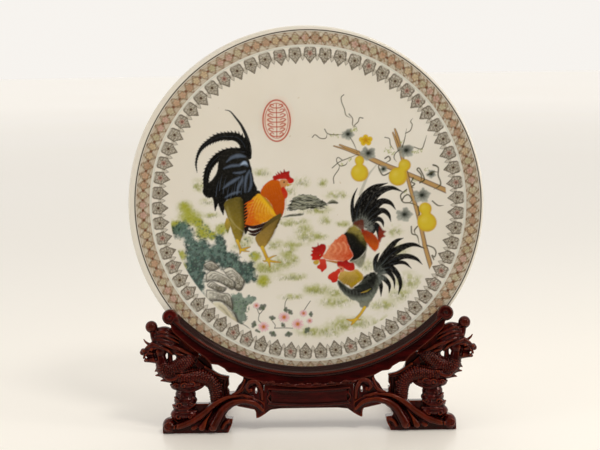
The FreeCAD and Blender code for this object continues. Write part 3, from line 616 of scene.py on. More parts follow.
def paint_low_bird(canvas):
    """The bird in front, bending low: gold hackle and black body."""
    feathers = [
        [(68.5, -67, 1.6), (68.5, -59.5, 1.9), (70.5, -54, 1.3), (73, -51, 0.2)],
        [(69.5, -68.5, 1.5), (76, -56.5, 2.6), (84.5, -45, 2.4), (90.5, -39, 1.5), (97, -36.5, 0.2)],
        [(71.5, -67.5, 1.9), (83, -53.5, 3.2), (95, -46, 2.6), (106.5, -43, 1.6), (117.5, -47, 0.2)],
        [(73, -68, 1.9), (85.5, -58.5, 2.6), (98, -54.5, 2.2), (108.5, -57, 1.5), (115, -63, 0.2)],
        [(73.5, -67.5, 1.5), (86.5, -61.5, 1.8), (97, -61, 1.4), (104.5, -67, 0.2)],
        [(73.5, -69, 2.1), (83, -65.5, 2.5), (90.5, -73, 2.1), (93, -83, 1.5), (90.5, -92.5, 0.2)],
        [(72.5, -70.5, 1.7), (81, -70, 2.0), (86.5, -77.5, 1.3), (87, -86.5, 0.2)],
        [(71.5, -73.5, 1.7), (78, -77.5, 2.1), (82, -83.5, 1.4), (81.5, -91, 0.2)],
        [(70.5, -76, 1.5), (73.5, -83, 1.8), (73.5, -94.5, 0.2)],
    ]
    for seed, feather in enumerate(feathers):
        paint_feather(canvas, feather, INK, linear(92, 98, 92), seed + 71, 1.25)
    canvas.fill([(66.5, -71), (71.5, -65), (77, -67), (79, -73.5), (77, -78.5), (72.5, -81.5),
                 (68.5, -78.5)], linear(132, 138, 130), linear(70, 74, 70), grain=3.0, size=1.5,
                cover=0.6, soft=2.0)
    canvas.fill([(50, -97.5), (66, -94), (62.5, -100), (60, -105), (53, -105), (51.5, -101)],
                linear(140, 142, 126), linear(96, 100, 88), grain=1.2, soft=0.8)
    canvas.fill([(30.5, -77.5), (32, -85), (37, -91.5), (43, -96.5), (50.5, -98.5), (59, -98),
                 (66.5, -94), (71, -86), (71, -76.5), (67.5, -70), (62, -71.5), (57, -74),
                 (53.5, -79.5), (44.5, -86.5), (37, -82)], linear(120, 126, 114), linear(6, 6, 5),
                way=(0, 1), grain=1.4, soft=0.8)
    canvas.stroke([(33, -81, 1.6), (40, -88.5, 2.6), (50, -90, 4.6), (60, -86, 5.6), (67, -76, 3.2)],
                  INK, cover=0.85, soft=3.4)
    for step in range(10):
        x = 36 + 3.3 * step
        y = -91 - 4 * math.sin(step / 9 * math.pi)
        canvas.stroke([(x, y + 6, 0.2), (x + 0.6, y + 2.5, 0.45), (x + 0.4, y - 0.5, 0.1)],
                      PALE_GREY, INK, cover=0.12, soft=0.6)
    canvas.stroke([(47.5, -85, 0.6), (56, -84, 2.1), (63, -86, 1.5), (58, -89, 1.3), (51.5, -89, 0.4)],
                  linear(40, 44, 40), INK)
    canvas.stroke([(53.5, -90.5, 0.2), (59, -89, 0.8), (63.5, -86.5, 0.4)], OCHRE, OLIVE, cover=0.8)
    canvas.fill([(36, -67.5), (43, -69), (49.5, -67), (54, -70), (56.5, -74.5), (54, -79),
                 (50.5, -81), (47.5, -83.5), (44.5, -86), (41.5, -83.5), (37, -81.5), (33.5, -78.5),
                 (31, -76), (31.5, -73), (34, -69)], linear(150, 118, 24), linear(206, 170, 92),
                grain=1.0, soft=0.6)
    canvas.stroke([(50, -70.5, 1.4), (53, -74.5, 2.0), (50, -79, 1.6), (44, -82, 1.2)],
                  linear(176, 146, 24), cover=0.85, soft=2.0)
    for step in range(10):
        share = step / 9
        tip = (32.5 + 22 * share, -79 - 6 * math.sin(share * math.pi) + 3 * share)
        canvas.stroke([(39 + 8 * share, -70, 0.2), (38 + 13 * share, -75, 0.5), (*tip, 0.1)],
                      linear(196, 164, 60), linear(92, 78, 20), cover=0.55, soft=0.3)
    canvas.fill([(30.5, -60), (33.5, -58.5), (37, -59), (40, -57.5), (43, -60), (47, -60.5),
                 (48, -64), (47.5, -67.5), (44, -69), (40, -68), (36.5, -65.5), (31, -64)],
                BRIGHT_RED, DEEP_RED, grain=0.7)
    canvas.fill([(34.5, -66.5), (33.5, -69.5), (31.5, -73), (31, -76), (29.5, -79), (25.5, -80),
                 (23.5, -77.5), (21, -76), (21.5, -72.5), (25, -70), (28.5, -68.5), (31, -66.5)],
                BRIGHT_RED, linear(206, 60, 40), grain=0.6)
    canvas.fill([(31.5, -63.5), (36, -64.5), (37.5, -67), (36, -69.5), (33.5, -68.5), (33, -66)],
                linear(214, 130, 100))
    canvas.dot(34.4, -66.4, 0.7, INK)
    paint_shanks(canvas, [
        [(57, -105, 1.4), (53, -111, 1.2), (47.5, -117, 1.4)],
        [(47.5, -117, 1.3), (43, -117.5, 1.1), (39, -116.5, 0.3)],
        [(47.5, -117, 1.3), (45, -120, 1.1), (43, -122, 0.3)],
        [(48.5, -116, 0.9), (51, -117, 0.6), (52.5, -116.5, 0.2)],
    ])


def paint_leaf(canvas, x, y, reach, seed):
    """A pleated grey leaf with shallow lobes and a soft black heart."""
    outline = []
    for step in range(30):
        turn = math.radians(12 * step)
        lobed = 0.9 + 0.1 * math.cos(5 * turn + seed) + 0.05 * math.cos(11 * turn + 2 * seed)
        notch = 0.34 * math.exp(-((math.cos(turn - 2.1 - 0.2 * seed) - 1) / 0.05) ** 2)
        far = reach * (lobed - notch)
        outline.append((x + far * math.cos(turn), y + 0.88 * far * math.sin(turn)))
    canvas.fill(outline, linear(164, 168, 158), linear(128, 132, 122), grain=0.6, soft=0.9, cover=0.86,
                seed=seed)
    for pleat in range(9):
        turn = math.radians(40 * pleat + 17 * seed)
        tip = (x + 0.68 * reach * math.cos(turn), y + 0.6 * reach * math.sin(turn))
        canvas.stroke([(x, y, 1.0), (*tip, 0.2)], linear(66, 72, 62), linear(120, 126, 114), cover=0.5,
                      soft=0.9)
    canvas.dot(x + 0.14 * reach, y + 0.04 * reach, reach * 0.3, linear(26, 29, 24), cover=0.94,
               soft=0.55 * reach)


def paint_gourd(canvas, lobes):
    """A yellow gourd: a large lobe below a small one, with a dark edge."""
    for x, y, r in lobes:
        canvas.dot(x, y, r + 0.2, GOURD_DEEP, cover=0.9, soft=0.5)
    (ax, ay, ar), (bx, by, br) = lobes
    waist = (ax + 0.42 * (bx - ax), ay + 0.42 * (by - ay), ar * 0.82)
    canvas.stroke([(ax, ay, ar * 0.97), waist, (bx, by, br * 0.95)], GOURD_DEEP, cover=0.95, soft=0.4)
    canvas.stroke([(ax, ay, ar * 0.6), (waist[0], waist[1], ar * 0.5), (bx, by, br * 0.6)], GOURD,
                  soft=1.6)
    for x, y, r in lobes:
        canvas.dot(x - 0.6, y + 0.4, r - 1.6, GOURD, soft=3.0)
        canvas.dot(x - r * 0.3, y + r * 0.3, r * 0.25, linear(226, 206, 96), cover=0.5, soft=4.0)


KNOTTED_VINE = 0.7
THIN_VINE = 0.48


def paint_poles(canvas):
    """Three crossed bamboo poles on the right."""
    poles = [
        [(35, 58, 0.5), (43.5, 54, 1.2), (53.5, 50, 1.5)],
        [(29, 57, 0.3), (41.5, 53, 0.7), (53.5, 48, 1)],
        [(53.5, 49, 1.3), (62, 45, 1.5), (70, 41.4, 2.2), (81.5, 36, 2.3), (93, 31.4, 2.2)],
        [(93, 31.4, 2.0), (99.5, 28.6, 2.0), (118.5, 19.9, 2.2), (135, 12.2, 2.3), (143, 8.4, 2.4)],
        [(90, 72.5, 0.5), (92.5, 64, 1.3), (95, 52.5, 1.5), (98, 40, 1.4), (100.5, 30.5, 1.4),
         (106, 8.5, 1.6), (112, -14, 1.7), (117, -39, 1.8), (118, -45, 1.9), (122, -60.5, 2),
         (125, -72, 1.8)],
        [(88, 69, 0.4), (91, 61, 0.9), (94, 52, 1.2)],
    ]
    for pole in poles:
        canvas.stroke([(x, y, half + 0.45) for x, y, half in pole], linear(116, 86, 54), cover=0.9)
        canvas.stroke([(x - 0.3, y + 0.3, half * 0.75) for x, y, half in pole], TAN, barbs=0.7)
    canvas.stroke([(71.5, 37.5, 0.5), (63, 27, 1.1), (58.5, 17.5, 1.4), (54.5, 8, 1.4)],
                  linear(150, 150, 134), cover=0.55, soft=0.5)


def paint_vines(canvas):
    """Leaves on the trellis, with curling vines and small green buds."""
    leaves = [(63, 49, 8.4), (100.5, 51, 8.6), (115.5, 6, 9), (98, -13, 8.6), (43, 68.5, 6.7),
              (125, 27, 5), (78, 33, 4.5)]
    for seed, (x, y, reach) in enumerate(leaves):
        paint_leaf(canvas, x, y, reach, seed + 91)
    vines = [
        [(39.5, 107.5), (37, 105), (37.5, 100), (40, 93.5), (41.5, 87.5), (46, 84.5)],
        [(44.5, 88.5), (48, 84), (48, 78), (50, 75)],
        [(58.5, 84), (55, 84.5), (53.5, 80.5), (50, 77), (52.5, 75)],
        [(20, 74), (23, 69.5), (30.5, 68), (38.5, 68.5)],
        [(7.5, 66), (10.5, 68.5), (15.5, 65), (21, 65), (22.5, 69.5)],
        [(45.5, 65), (49, 59), (52.5, 50.5)],
        [(27, 35), (34.5, 41), (43.5, 44.5), (52.5, 48)],
        [(28.5, 19.5), (28.5, 26), (33.5, 33.5), (34.5, 38)],
        [(37, 43), (33, 45.5), (31.5, 42), (35, 37), (40.5, 38), (42.5, 41)],
        [(94, 51.5), (90, 48), (89, 43.5), (91.5, 40)],
        [(97, 54), (99.5, 62), (101.5, 72.5)],
        [(100.5, 68), (105, 70.5), (107, 76), (105.5, 79.5), (107.5, 82.5)],
        [(80, 64.5), (84.5, 63), (85.5, 57), (89, 52)],
        [(109, 54), (116, 52), (119, 58.5), (121, 65.5)],
        [(127.5, 35.5), (130.4, 34.7), (132.2, 32.4), (131.9, 25.6), (134, 19.4), (133.5, 15.3),
         (127.5, 11.6)],
        [(127, 36), (130, 35), (131.6, 33)],
        [(114, 18.5), (118.5, 22), (114, 32.5), (111.5, 31.5), (115.5, 26), (115, 18.5)],
        [(122, 26), (127, 29), (132, 28.5)],
        [(91.5, 33), (84, 29), (77.5, 27), (73.5, 35), (75, 38)],
        [(80, 43.5), (83.5, 45.5), (85, 42), (80.5, 39)],
        [(101, 12), (95, 6.5), (97.5, -0.5), (104.5, -1.5), (111.5, -4.5)],
        [(105, -25), (105.5, -32), (110.5, -34.5), (112.5, -43.5)],
        [(111, -25), (108, -29), (109, -33.5)],
        [(126, 0), (131.5, -4.5), (137, -4.5)],
        [(107.5, 23.5), (106, 19.5), (109, 17.5), (106, 14.5), (108.5, 13.5)],
        [(112, -5), (113, -12), (111, -15)],
        [(96, 1), (99, 5.5), (103, 6.5), (106, 1.5), (103.5, -1)],
        [(120, -44), (126, -46.5), (128.5, -51), (127, -55.5), (124.5, -54), (126.5, -58.5),
         (130.5, -63), (129, -66.5)],
    ]
    buds = [(49.6, 73.8), (51.6, 72.6), (47.4, 72.0), (33, 67), (27.6, 67.6), (81, 52), (84.6, 50.4),
            (88, 48.6), (85.6, 53.6), (108.4, 49.8), (112, 49.2), (114.6, 50.6), (97, 59.4),
            (36, 38.4), (44.6, 43.6), (121, 31.4), (100, 9), (109, 21.6)]
    for seed, (x, y) in enumerate(buds):
        canvas.dabs((x, y, 2.3), linear(150, 156, 66), linear(182, 188, 112), 9, seed + 301, size=0.62,
                    cover=0.7)
    for vine in vines:
        knotted = vine[0][0] > 75 and vine[0][1] < 46
        line = [(x, y, KNOTTED_VINE if knotted else THIN_VINE) for x, y in vine]
        line[-1] = (*vine[-1], 0.15)
        canvas.stroke(line, VINE, linear(92, 86, 56), cover=0.9)


def paint_trellis(canvas):
    """Bamboo poles with gourds, leaves, a flower and curling vines."""
    paint_poles(canvas)
    paint_vines(canvas)
    gourds = [
        [(54.5, 42, 4.5), (54.5, 29.5, 8.7)],
        [(99.4, 36.4, 5.8), (92.5, 25, 9.0)],
        [(119, -7.4, 6.0), (120.4, -21.2, 9.3)],
    ]
    for lobes in gourds:
        paint_gourd(canvas, lobes)
    for petal in range(5):
        turn = math.radians(20 + 72 * petal)
        tip = (61 + 4.4 * math.cos(turn), 62 + 3.2 * math.sin(turn))
        canvas.stroke([(61, 62, 2.0), (*tip, 2.7)], linear(206, 150, 22), linear(220, 184, 40), soft=0.4)
        canvas.stroke([(61, 62, 0.5), (*tip, 0.2)], linear(176, 112, 20), cover=0.7, soft=0.4)


def paint_stone(canvas, outline, seed):
    """A pale stone with dark contours, folds and a shaded underside."""
    canvas.fill(outline, linear(112, 106, 88), linear(226, 222, 208), grain=1.8, size=1.6, seed=seed,
                soft=0.5)
    middle = np.mean(outline, axis=0)
    under = [(x, y + 0.8, 1.1) for x, y in outline if y < middle[1]]
    if len(under) > 1:
        canvas.stroke(under, STONE_DARK, cover=0.75, soft=1.6)
    ring = [(x, y, 0.4) for x, y in outline + outline[:1]]
    canvas.stroke(ring, linear(52, 47, 38), cover=0.8, soft=0.5)
    for share in (0.78, 0.55, 0.32):
        fold = [(middle[0] + (x - middle[0]) * share, middle[1] - 0.9 + (y - middle[1]) * share, 0.36)
                for x, y in outline[:len(outline) // 2 + 1]]
        canvas.stroke(fold, linear(50, 45, 34), linear(92, 84, 66), cover=0.72, soft=0.7)


def paint_bloom(canvas, x, y, reach, seed):
    """A pink daisy with an orange centre."""
    pick = np.random.RandomState(seed)
    count = 15
    for petal in range(count):
        turn = TURN * petal / count + pick.uniform(-0.1, 0.1)
        tip = (x + reach * math.cos(turn), y + reach * 0.88 * math.sin(turn))
        mid = (x + 0.5 * reach * math.cos(turn), y + 0.45 * reach * math.sin(turn))
        canvas.stroke([(x, y, 0.3), (*mid, reach * 0.11), (*tip, reach * 0.1)], PINK, PALE_PINK)
    for petal in range(count):
        turn = TURN * (petal + 0.5) / count
        tip = (x + 0.92 * reach * math.cos(turn), y + 0.82 * reach * math.sin(turn))
        canvas.stroke([(x, y, 0.2), (*tip, 0.1)], linear(186, 104, 124), cover=0.55)
    canvas.dot(x, y, reach * 0.34, linear(214, 136, 78), soft=0.7)
    canvas.dot(x, y, reach * 0.14, linear(160, 92, 44))


THICKET_DABS = 1100
ROCK_STROKES = 150


def paint_shrubs(canvas):
    """Yellow-green shrubs at the lower left."""
    shrubs = [(-120.5, -2.5, 7.5), (-116.5, -12.5, 10.5), (-130, -21, 8), (-103, -27, 9.6),
              (-85, -25, 7), (-125.5, -50.5, 6.5), (-124, -62.5, 6), (-44, -77, 7.7), (-52, -52.5, 6),
              (-118, -84, 4.5), (-108, -18, 6), (-94, -31, 5)]
    for seed, (x, y, reach) in enumerate(shrubs):
        canvas.wash(x, y, reach * 1.15, reach, SHRUB, strength=0.95, size=3.2, seed=seed + 7)
        canvas.wash(x, y, reach * 0.9, reach * 0.8, SHRUB, strength=0.9, size=4.4, seed=seed + 17)
        canvas.dot(x, y, reach * 0.55, SHRUB, cover=0.7, soft=reach * 0.45)
        for lobe in range(6):
            turn = 1.05 * lobe + seed
            canvas.dot(x + 0.5 * reach * math.cos(turn), y + 0.42 * reach * math.sin(turn), reach * 0.34,
                       SHRUB, cover=0.42, soft=1.6)
        canvas.dabs((x, y, reach), SHRUB, linear(128, 138, 50), int(reach * 3), seed + 21, size=1.1,
                    cover=0.35)


def paint_thicket(canvas):
    """A blue-green thicket in front of the shrubs."""
    thicket = [(-132.5, -23), (-126.5, -19), (-120.5, -15.5), (-117, -21), (-113, -28), (-111, -35),
               (-102, -34.5), (-95.5, -40.5), (-92, -38), (-91, -33), (-86, -31), (-82, -35),
               (-80.5, -44), (-74.5, -48), (-69.5, -52.5), (-64.5, -58.5), (-55, -57.5), (-52.5, -65),
               (-51.5, -76), (-60.5, -79), (-64.5, -77), (-78.5, -69), (-87, -62.5), (-93, -58.5),
               (-101, -60.5), (-102, -95.5), (-106.5, -95.5), (-111.5, -92.5), (-115.5, -82),
               (-118.5, -74), (-120.5, -65), (-119.5, -48.5), (-120.5, -38), (-130, -31)]
    canvas.fill(thicket, TEAL_DARK, TEAL, way=(-0.3, 1), grain=7.0, size=3.2, cover=0.94, soft=3.4)
    pick = np.random.RandomState(4)
    for _ in range(THICKET_DABS):
        x = pick.uniform(-131, -52)
        y = pick.uniform(-96, -16)
        spot = canvas.window(x, x + 1, y, y + 1)
        if canvas.cover[spot].mean() > 0.6:
            tone = pick.choice(3)
            colour = (TEAL_DARK, linear(120, 152, 132), linear(62, 104, 96))[tone]
            canvas.dot(x, y, pick.uniform(0.3, 0.85), colour, cover=0.6, soft=0.6)
    canvas.fill([(-75.5, -90.5), (-66.5, -89.5), (-62.5, -93.5), (-57.5, -91.5), (-51, -94.5),
                 (-54, -98.5), (-59.5, -100.5), (-61.5, -106.5), (-60.5, -113), (-65.5, -119),
                 (-70.5, -119), (-73, -109.5), (-75.5, -102.5)], linear(58, 86, 76), linear(104, 132, 116),
                grain=4.0, cover=0.85, soft=0.8)
    canvas.dabs((-66, -102, 9), TEAL_DARK, linear(120, 148, 110), 60, 8, size=0.9, cover=0.6)


def paint_stones(canvas):
    """A heap of pale stones in front of the thicket."""
    stones = [
        [(-96.5, -105.5), (-95.5, -97), (-86, -96.5), (-78.5, -103.5), (-72.5, -109.5), (-69.5, -119),
         (-78.5, -119), (-87, -115), (-93, -109.5)],
        [(-104.5, -95.5), (-100.5, -97.5), (-95, -96), (-96.5, -104.5), (-99, -105.5), (-103, -100.5)],
        [(-100, -85), (-93, -86), (-85, -88.5), (-78.5, -89.5), (-75.5, -95.5), (-74.5, -104.5),
         (-78.5, -101.5), (-85, -96.5), (-95, -95.5), (-100.5, -97.5)],
        [(-99.5, -80), (-95, -77), (-88, -81), (-81, -84), (-85, -87.5), (-92, -85), (-98, -82)],
        [(-84, -65.5), (-76.5, -63), (-69.5, -68), (-64.5, -74), (-63, -79), (-66.5, -86),
         (-71.5, -85), (-74.5, -79), (-78.5, -73)],
        [(-100.5, -70), (-95, -66), (-88, -68), (-78.5, -73), (-72, -79), (-74.5, -85), (-81, -81),
         (-89, -77), (-96, -75), (-100, -77)],
        [(-102.5, -59.5), (-99.5, -57.5), (-94.5, -57), (-88, -62.5), (-92, -65.5), (-98, -65.5),
         (-101, -63)],
    ]
    for seed, outline in enumerate(stones):
        paint_stone(canvas, outline, seed + 15)
    canvas.fill([(-94, -105), (-93.5, -98.5), (-86, -98), (-79.5, -104.5), (-74, -111), (-71, -117.5),
                 (-79, -118), (-88, -113.5)], linear(204, 194, 158), linear(230, 222, 194), grain=1.5,
                cover=0.85, soft=1.0)
    for fold in ([(-88, -101, 0.4), (-82, -106, 0.7), (-76, -115, 0.4)],
                 [(-90, -104, 0.3), (-85, -109, 0.6), (-80, -115.5, 0.3)]):
        canvas.stroke(fold, linear(104, 92, 66), cover=0.6, soft=1.4)
    canvas.fill([(-69.5, -120), (-62.5, -123), (-55, -127), (-54, -129.5), (-64.5, -127), (-72.5, -122)],
                linear(150, 142, 112), STONE, grain=1.6, cover=0.8)


def paint_daisies(canvas):
    """Pink daisies on dark stems, with dark lobed leaves."""
    stems = [
        [(-70.5, -118), (-62.5, -120.5), (-55, -126.5), (-50, -130)],
        [(-48, -109.5), (-49, -115.5), (-46, -119)],
        [(-33, -124), (-23.5, -124), (-15, -124.5)],
        [(-35, -117.5), (-32.5, -121), (-33, -124)],
        [(-50.5, -104), (-48, -109.5), (-44, -105.5)],
        [(-23, -106), (-22, -99), (-20, -95)],
        [(-4, -108), (0, -102), (3, -98)],
    ]
    for stem in stems:
        canvas.stroke([(x, y, 0.4) for x, y in stem], VINE, cover=0.85)
    leaves = [(-23, -106.5, 2.5), (-18.5, -109.5, 2.6), (-35.5, -115.5, 2.7), (-44, -105, 3.5),
              (-52, -120.5, 2.9), (-48.5, -127.5, 3.0), (-34, -128, 3.1), (-19.5, -128.5, 3.1),
              (-2, -125.5, 2.9), (2, -111, 2.3), (-25.5, -122, 2.2)]
    for seed, (x, y, reach) in enumerate(leaves):
        for lobe in range(3):
            turn = math.radians(50 * (lobe - 1) + 40 * seed)
            tip = (x + reach * math.cos(turn), y + reach * math.sin(turn))
            canvas.stroke([(x, y, reach * 0.3), (*tip, reach * 0.5)], linear(92, 106, 82),
                          linear(70, 80, 68), cover=0.85, soft=0.5)
    blooms = [(-23.5, -113.5, 5.5), (-44, -122.5, 5.3), (-10, -120.5, 5.7), (-51, -101.5, 3.1),
              (-4, -110, 3.7), (2, -117.5, 2.9)]
    for seed, (x, y, reach) in enumerate(blooms):
        paint_bloom(canvas, x, y, reach, seed + 3)


def paint_garden(canvas):
    """The planting at the lower left, from the back to the front."""
    paint_shrubs(canvas)
    paint_thicket(canvas)
    paint_stones(canvas)
    paint_daisies(canvas)


def paint_ground(canvas):
    """Thin grass washes with short blades, and a low rock in the distance."""
    patches = [(10.5, -7, 14, 3.4), (31.5, 8, 11, 3.4), (-9.5, -18.5, 11, 3), (19, -17.5, 6, 3.6),
               (37, -21.5, 7, 2.6), (-3, -25, 8, 4), (10.5, -33.5, 11, 3), (-12.5, -41.5, 9, 2.6),
               (9.5, -86.5, 13, 4.4), (28.5, -98.5, 16, 5), (35, -121.5, 14, 6.3),
               (52.5, -119.5, 10, 5.3), (75, -102.5, 12, 4.2), (100.5, -79.5, 13, 6.8),
               (87.5, -29, 8, 4.6), (-10.5, -73.5, 9, 3), (89.5, -48, 11, 4.6), (60, -63, 6, 5.3),
               (-3, 21.5, 7, 4.4), (17, 20.5, 5, 3.4), (-13.5, -56.5, 6, 3.4), (-44, 31.5, 8, 3.4),
               (-16, 13.5, 6, 5), (-19.5, -19.5, 8, 3.4), (-32.5, -41, 8, 4), (-61.5, -35.5, 9, 5),
               (-107.5, 19, 6, 5), (-98.5, 2.5, 7, 3), (-95, -11, 7, 3), (-107.5, -14.5, 6, 5),
               (-44, -62.5, 10, 7), (-18, -48, 8, 9), (-38, -65, 14, 4.2), (-23.5, -58.5, 12, 6.1),
               (-17.5, -74, 13, 2.8), (7, -87, 8, 3.6), (0, -33, 10, 6.1), (2, -128, 13, 4.1),
               (-15.5, -93.5, 11, 2.4), (75, -120, 12, 6), (20, -128, 12, 5), (120, -92, 7, 6),
               (-66, -42, 8, 4), (28, -90, 9, 4), (92, -92, 10, 6)]
    for seed, (x, y, wide, high) in enumerate(patches):
        canvas.wash(x, y, wide * 1.25, high * 1.5, GRASS, strength=0.85, size=4.0, seed=seed + 40)
        canvas.wash(x, y - high * 0.3, wide * 0.8, high * 0.7, GRASS_DARK, strength=0.5, size=2.0,
                    seed=seed + 90)
        canvas.tufts(x, y - high * 0.4, wide, high, GRASS_DARK, int(wide * 1.5), seed + 140, cover=0.5)
    rock = [(-18, -7), (-14.5, 1.5), (-11.5, 6.5), (-2, 9), (7.5, 7.5), (16, 3), (20.5, 0),
            (21.5, -2.5), (12.5, -4.5), (3, -5.5), (-9.5, -6.5)]
    canvas.fill(rock, linear(78, 82, 70), linear(150, 154, 136), grain=2.6, size=2.0, cover=0.9)
    canvas.fill([(22, -0.5), (24, 2.5), (29.5, 2.5), (32.5, 0), (28.5, -1)], linear(96, 98, 84),
                linear(150, 150, 130), grain=1.4)
    canvas.fill([(-23.5, -14), (-15.5, -11), (-3, -10), (-4, -12), (-13.5, -13)], linear(110, 116, 92),
                grain=1.2, cover=0.7)
    pick = np.random.RandomState(12)
    for _ in range(ROCK_STROKES):
        x = pick.uniform(-17, 20)
        top = np.interp(x, [-18, -11.5, -2, 7.5, 20.5], [-4, 6, 8.6, 7, 0])
        y = pick.uniform(-5.5, max(top, -4.5))
        tone = linear(24, 24, 16) if pick.uniform() < 0.62 else linear(172, 172, 148)
        run = pick.uniform(1.2, 3.4)
        canvas.stroke([(x - run, y - 0.5, 0.1), (x, y, 0.42), (x + run, y - 0.7, 0.1)], tone,
                      cover=0.8, soft=0.3)
    for x, y, run in ((27, 0.4, 4), (-16, -12, 6), (-7, -11.4, 4)):
        canvas.stroke([(x - run, y - 0.8, 0.2), (x, y, 1.0), (x + run, y - 0.2, 0.2)],
                      linear(36, 36, 26), cover=0.75, soft=0.6)


def paint_seal(canvas):
    """A plain red oval ornament in place of a seal: rings and leaf curls."""
    cx, cy, wide, high = -28, 83, 13.6, 20.4
    canvas.wash(cx, cy, wide * 1.2, high * 1.2, SEAL_WASH, strength=0.5, size=9.0, seed=2)
    for share, half in ((1.0, 0.8), (0.85, 0.4)):
        ring = [(cx + wide * share * math.sin(t), cy + high * share * math.cos(t), half)
                for t in np.linspace(0, TURN, 33)]
        canvas.stroke(ring, SEAL_RED, cover=0.9)
    canvas.stroke([(cx, cy - high * 0.8, 0.5), (cx, cy + high * 0.8, 0.5)], SEAL_RED, cover=0.85)
    for side in (-1, 1):
        for step in range(7):
            y = cy - 13.8 + 4.7 * step
            reach = wide * 0.66 * math.sqrt(max(1 - ((y - cy) / high) ** 2, 0.1))
            curl = [(cx, y - 1.8, 0.5), (cx + side * reach * 0.6, y - 1.4, 0.7),
                    (cx + side * reach, y + 0.7, 0.7), (cx + side * reach * 0.72, y + 1.9, 0.55),
                    (cx + side * reach * 0.42, y + 0.7, 0.5)]
            canvas.stroke(curl, SEAL_RED, cover=0.85)


PICTURE_MARGIN = 0.4


def paint_picture(pitch):
    """The whole picture, from the far ground to the nearest bird."""
    canvas = Canvas(PICTURE_REACH, pitch)
    paint_ground(canvas)
    paint_garden(canvas)
    paint_trellis(canvas)
    paint_big_bird(canvas)
    paint_middle_bird(canvas)
    paint_low_bird(canvas)
    paint_seal(canvas)
    far = np.hypot(canvas.x - BORDER_SHIFT, canvas.y)
    canvas.cover *= np.clip(PETAL_TIPS - PICTURE_MARGIN - far, 0, 1)
    return canvas


# -------------------------------------------------------------------- meshes


def new_object(name, data):
    """A new object in the scene."""
    made = bpy.data.objects.new(name, data)
    bpy.context.scene.collection.objects.link(made)
    return made


def ring_quads(rings, width, turned=False):
    """Quads between neighbouring rings of width points each."""
    quads = []
    for base in range(0, (rings - 1) * width, width):
        for i in range(width):
            j = (i + 1) % width
            quad = [base + i, base + j, base + width + j, base + width + i]
            quads.append(quad[:1] + quad[:0:-1] if turned else quad)
    return quads


def closed_rings(rings, width, turned=False):
    """The faces of a solid made of rings of width points each."""
    ends = [list(range(width))[::-1], list(range((rings - 1) * width, rings * width))]
    return ring_quads(rings, width, turned) + [end[::-1] if turned else end for end in ends]


def mesh_object(name, points, faces, smooth=True):
    """A new object in the scene from world points and faces."""
    mesh = bpy.data.meshes.new(name)
    mesh.from_pydata([tuple(p) for p in points], [], [tuple(int(i) for i in f) for f in faces])
    mesh.validate()
    mesh.polygons.foreach_set("use_smooth", [smooth] * len(mesh.polygons))
    mesh.update()
    return new_object(name, mesh)


def finish_piece(piece, body, material, replaced=()):
    """Sets a piece's finish, and ties it to the CAD body that it moves with."""
    piece.data.materials.clear()
    piece.data.materials.append(material)
    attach(piece, body)
    if replaced:
        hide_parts(*replaced)


# --------------------------------------------------------------------- plate


def dish_n(r):
    """How far forward the painted face is at radius r."""
    return -DISH_DEPTH * (1 - (r / PLATE_R) ** DISH_POWER)


def back_n(r):
    """How far forward the plate's back is at radius r."""
    return dish_n(r) - MIDDLE_T + (MIDDLE_T - RIM_T) * (r / PLATE_R) ** 2


FRONT_EDGE_R = 173.3
BACK_EDGE_R = 172.7
HUB_R = 2.0
AROUND = 288


def plate_profile():
    """The plate's closed section as (radius, n) points, face first."""
    face = [(r, dish_n(r)) for r in np.linspace(HUB_R, FRONT_EDGE_R, 76)]
    top = face[-1]
    under = (BACK_EDGE_R, back_n(BACK_EDGE_R))
    middle = (top[1] + under[1]) / 2
    half = (top[1] - under[1]) / 2
    edge = []
    for turn in np.linspace(90, -90, 11)[1:-1]:
        sweep = math.radians(turn)
        edge.append((FRONT_EDGE_R - 0.2 + (PLATE_R - FRONT_EDGE_R + 0.1) * math.cos(sweep),
                     middle + half * math.sin(sweep)))
    ring_out = FOOT_RING_R + FOOT_RING_HALF_TOP
    ring_in = FOOT_RING_R - FOOT_RING_HALF_TOP
    back = [(r, back_n(r)) for r in np.linspace(BACK_EDGE_R, ring_out + 1.5, 30)]
    tip = -PLATE_DEPTH + FOOT_RING_HALF_BOTTOM
    outer_n = back_n(ring_out)
    inner_n = back_n(ring_in)
    ring = [(ring_out + 0.3, outer_n - 0.6)]
    ring += [(FOOT_RING_R + FOOT_RING_HALF_BOTTOM + 0.6, tip + 1.5)]
    for turn in np.linspace(0, -180, 9):
        sweep = math.radians(turn)
        ring.append((FOOT_RING_R + FOOT_RING_HALF_BOTTOM * math.cos(sweep),
                     tip + FOOT_RING_HALF_BOTTOM * math.sin(sweep)))
    ring += [(FOOT_RING_R - FOOT_RING_HALF_BOTTOM - 0.6, tip + 1.5)]
    ring += [(ring_in - 0.3, inner_n - 0.6)]
    middle_back = [(r, back_n(r)) for r in np.linspace(ring_in - 1.5, HUB_R, 26)]
    return face + edge + back + ring + middle_back


def plate_porcelain():
    """The plate's body, turned about its axis, with fine even steps."""
    profile = plate_profile()
    turns = np.linspace(0, TURN, AROUND, endpoint=False)
    points = []
    for r, n in profile:
        for turn in turns:
            points.append((r * math.sin(turn), PLATE_W + r * math.cos(turn), n))
    faces = ring_quads(len(profile), AROUND, turned=True)
    face_hub = len(points)
    points.append((0, PLATE_W, dish_n(0)))
    back_hub = len(points)
    points.append((0, PLATE_W, back_n(0)))
    last = (len(profile) - 1) * AROUND
    for i in range(AROUND):
        j = (i + 1) % AROUND
        faces.append((face_hub, i, j))
        faces.append((back_hub, last + j, last + i))
    return mesh_object("plate_porcelain", place(points), faces)


# -------------------------------------------------------------------- enamel

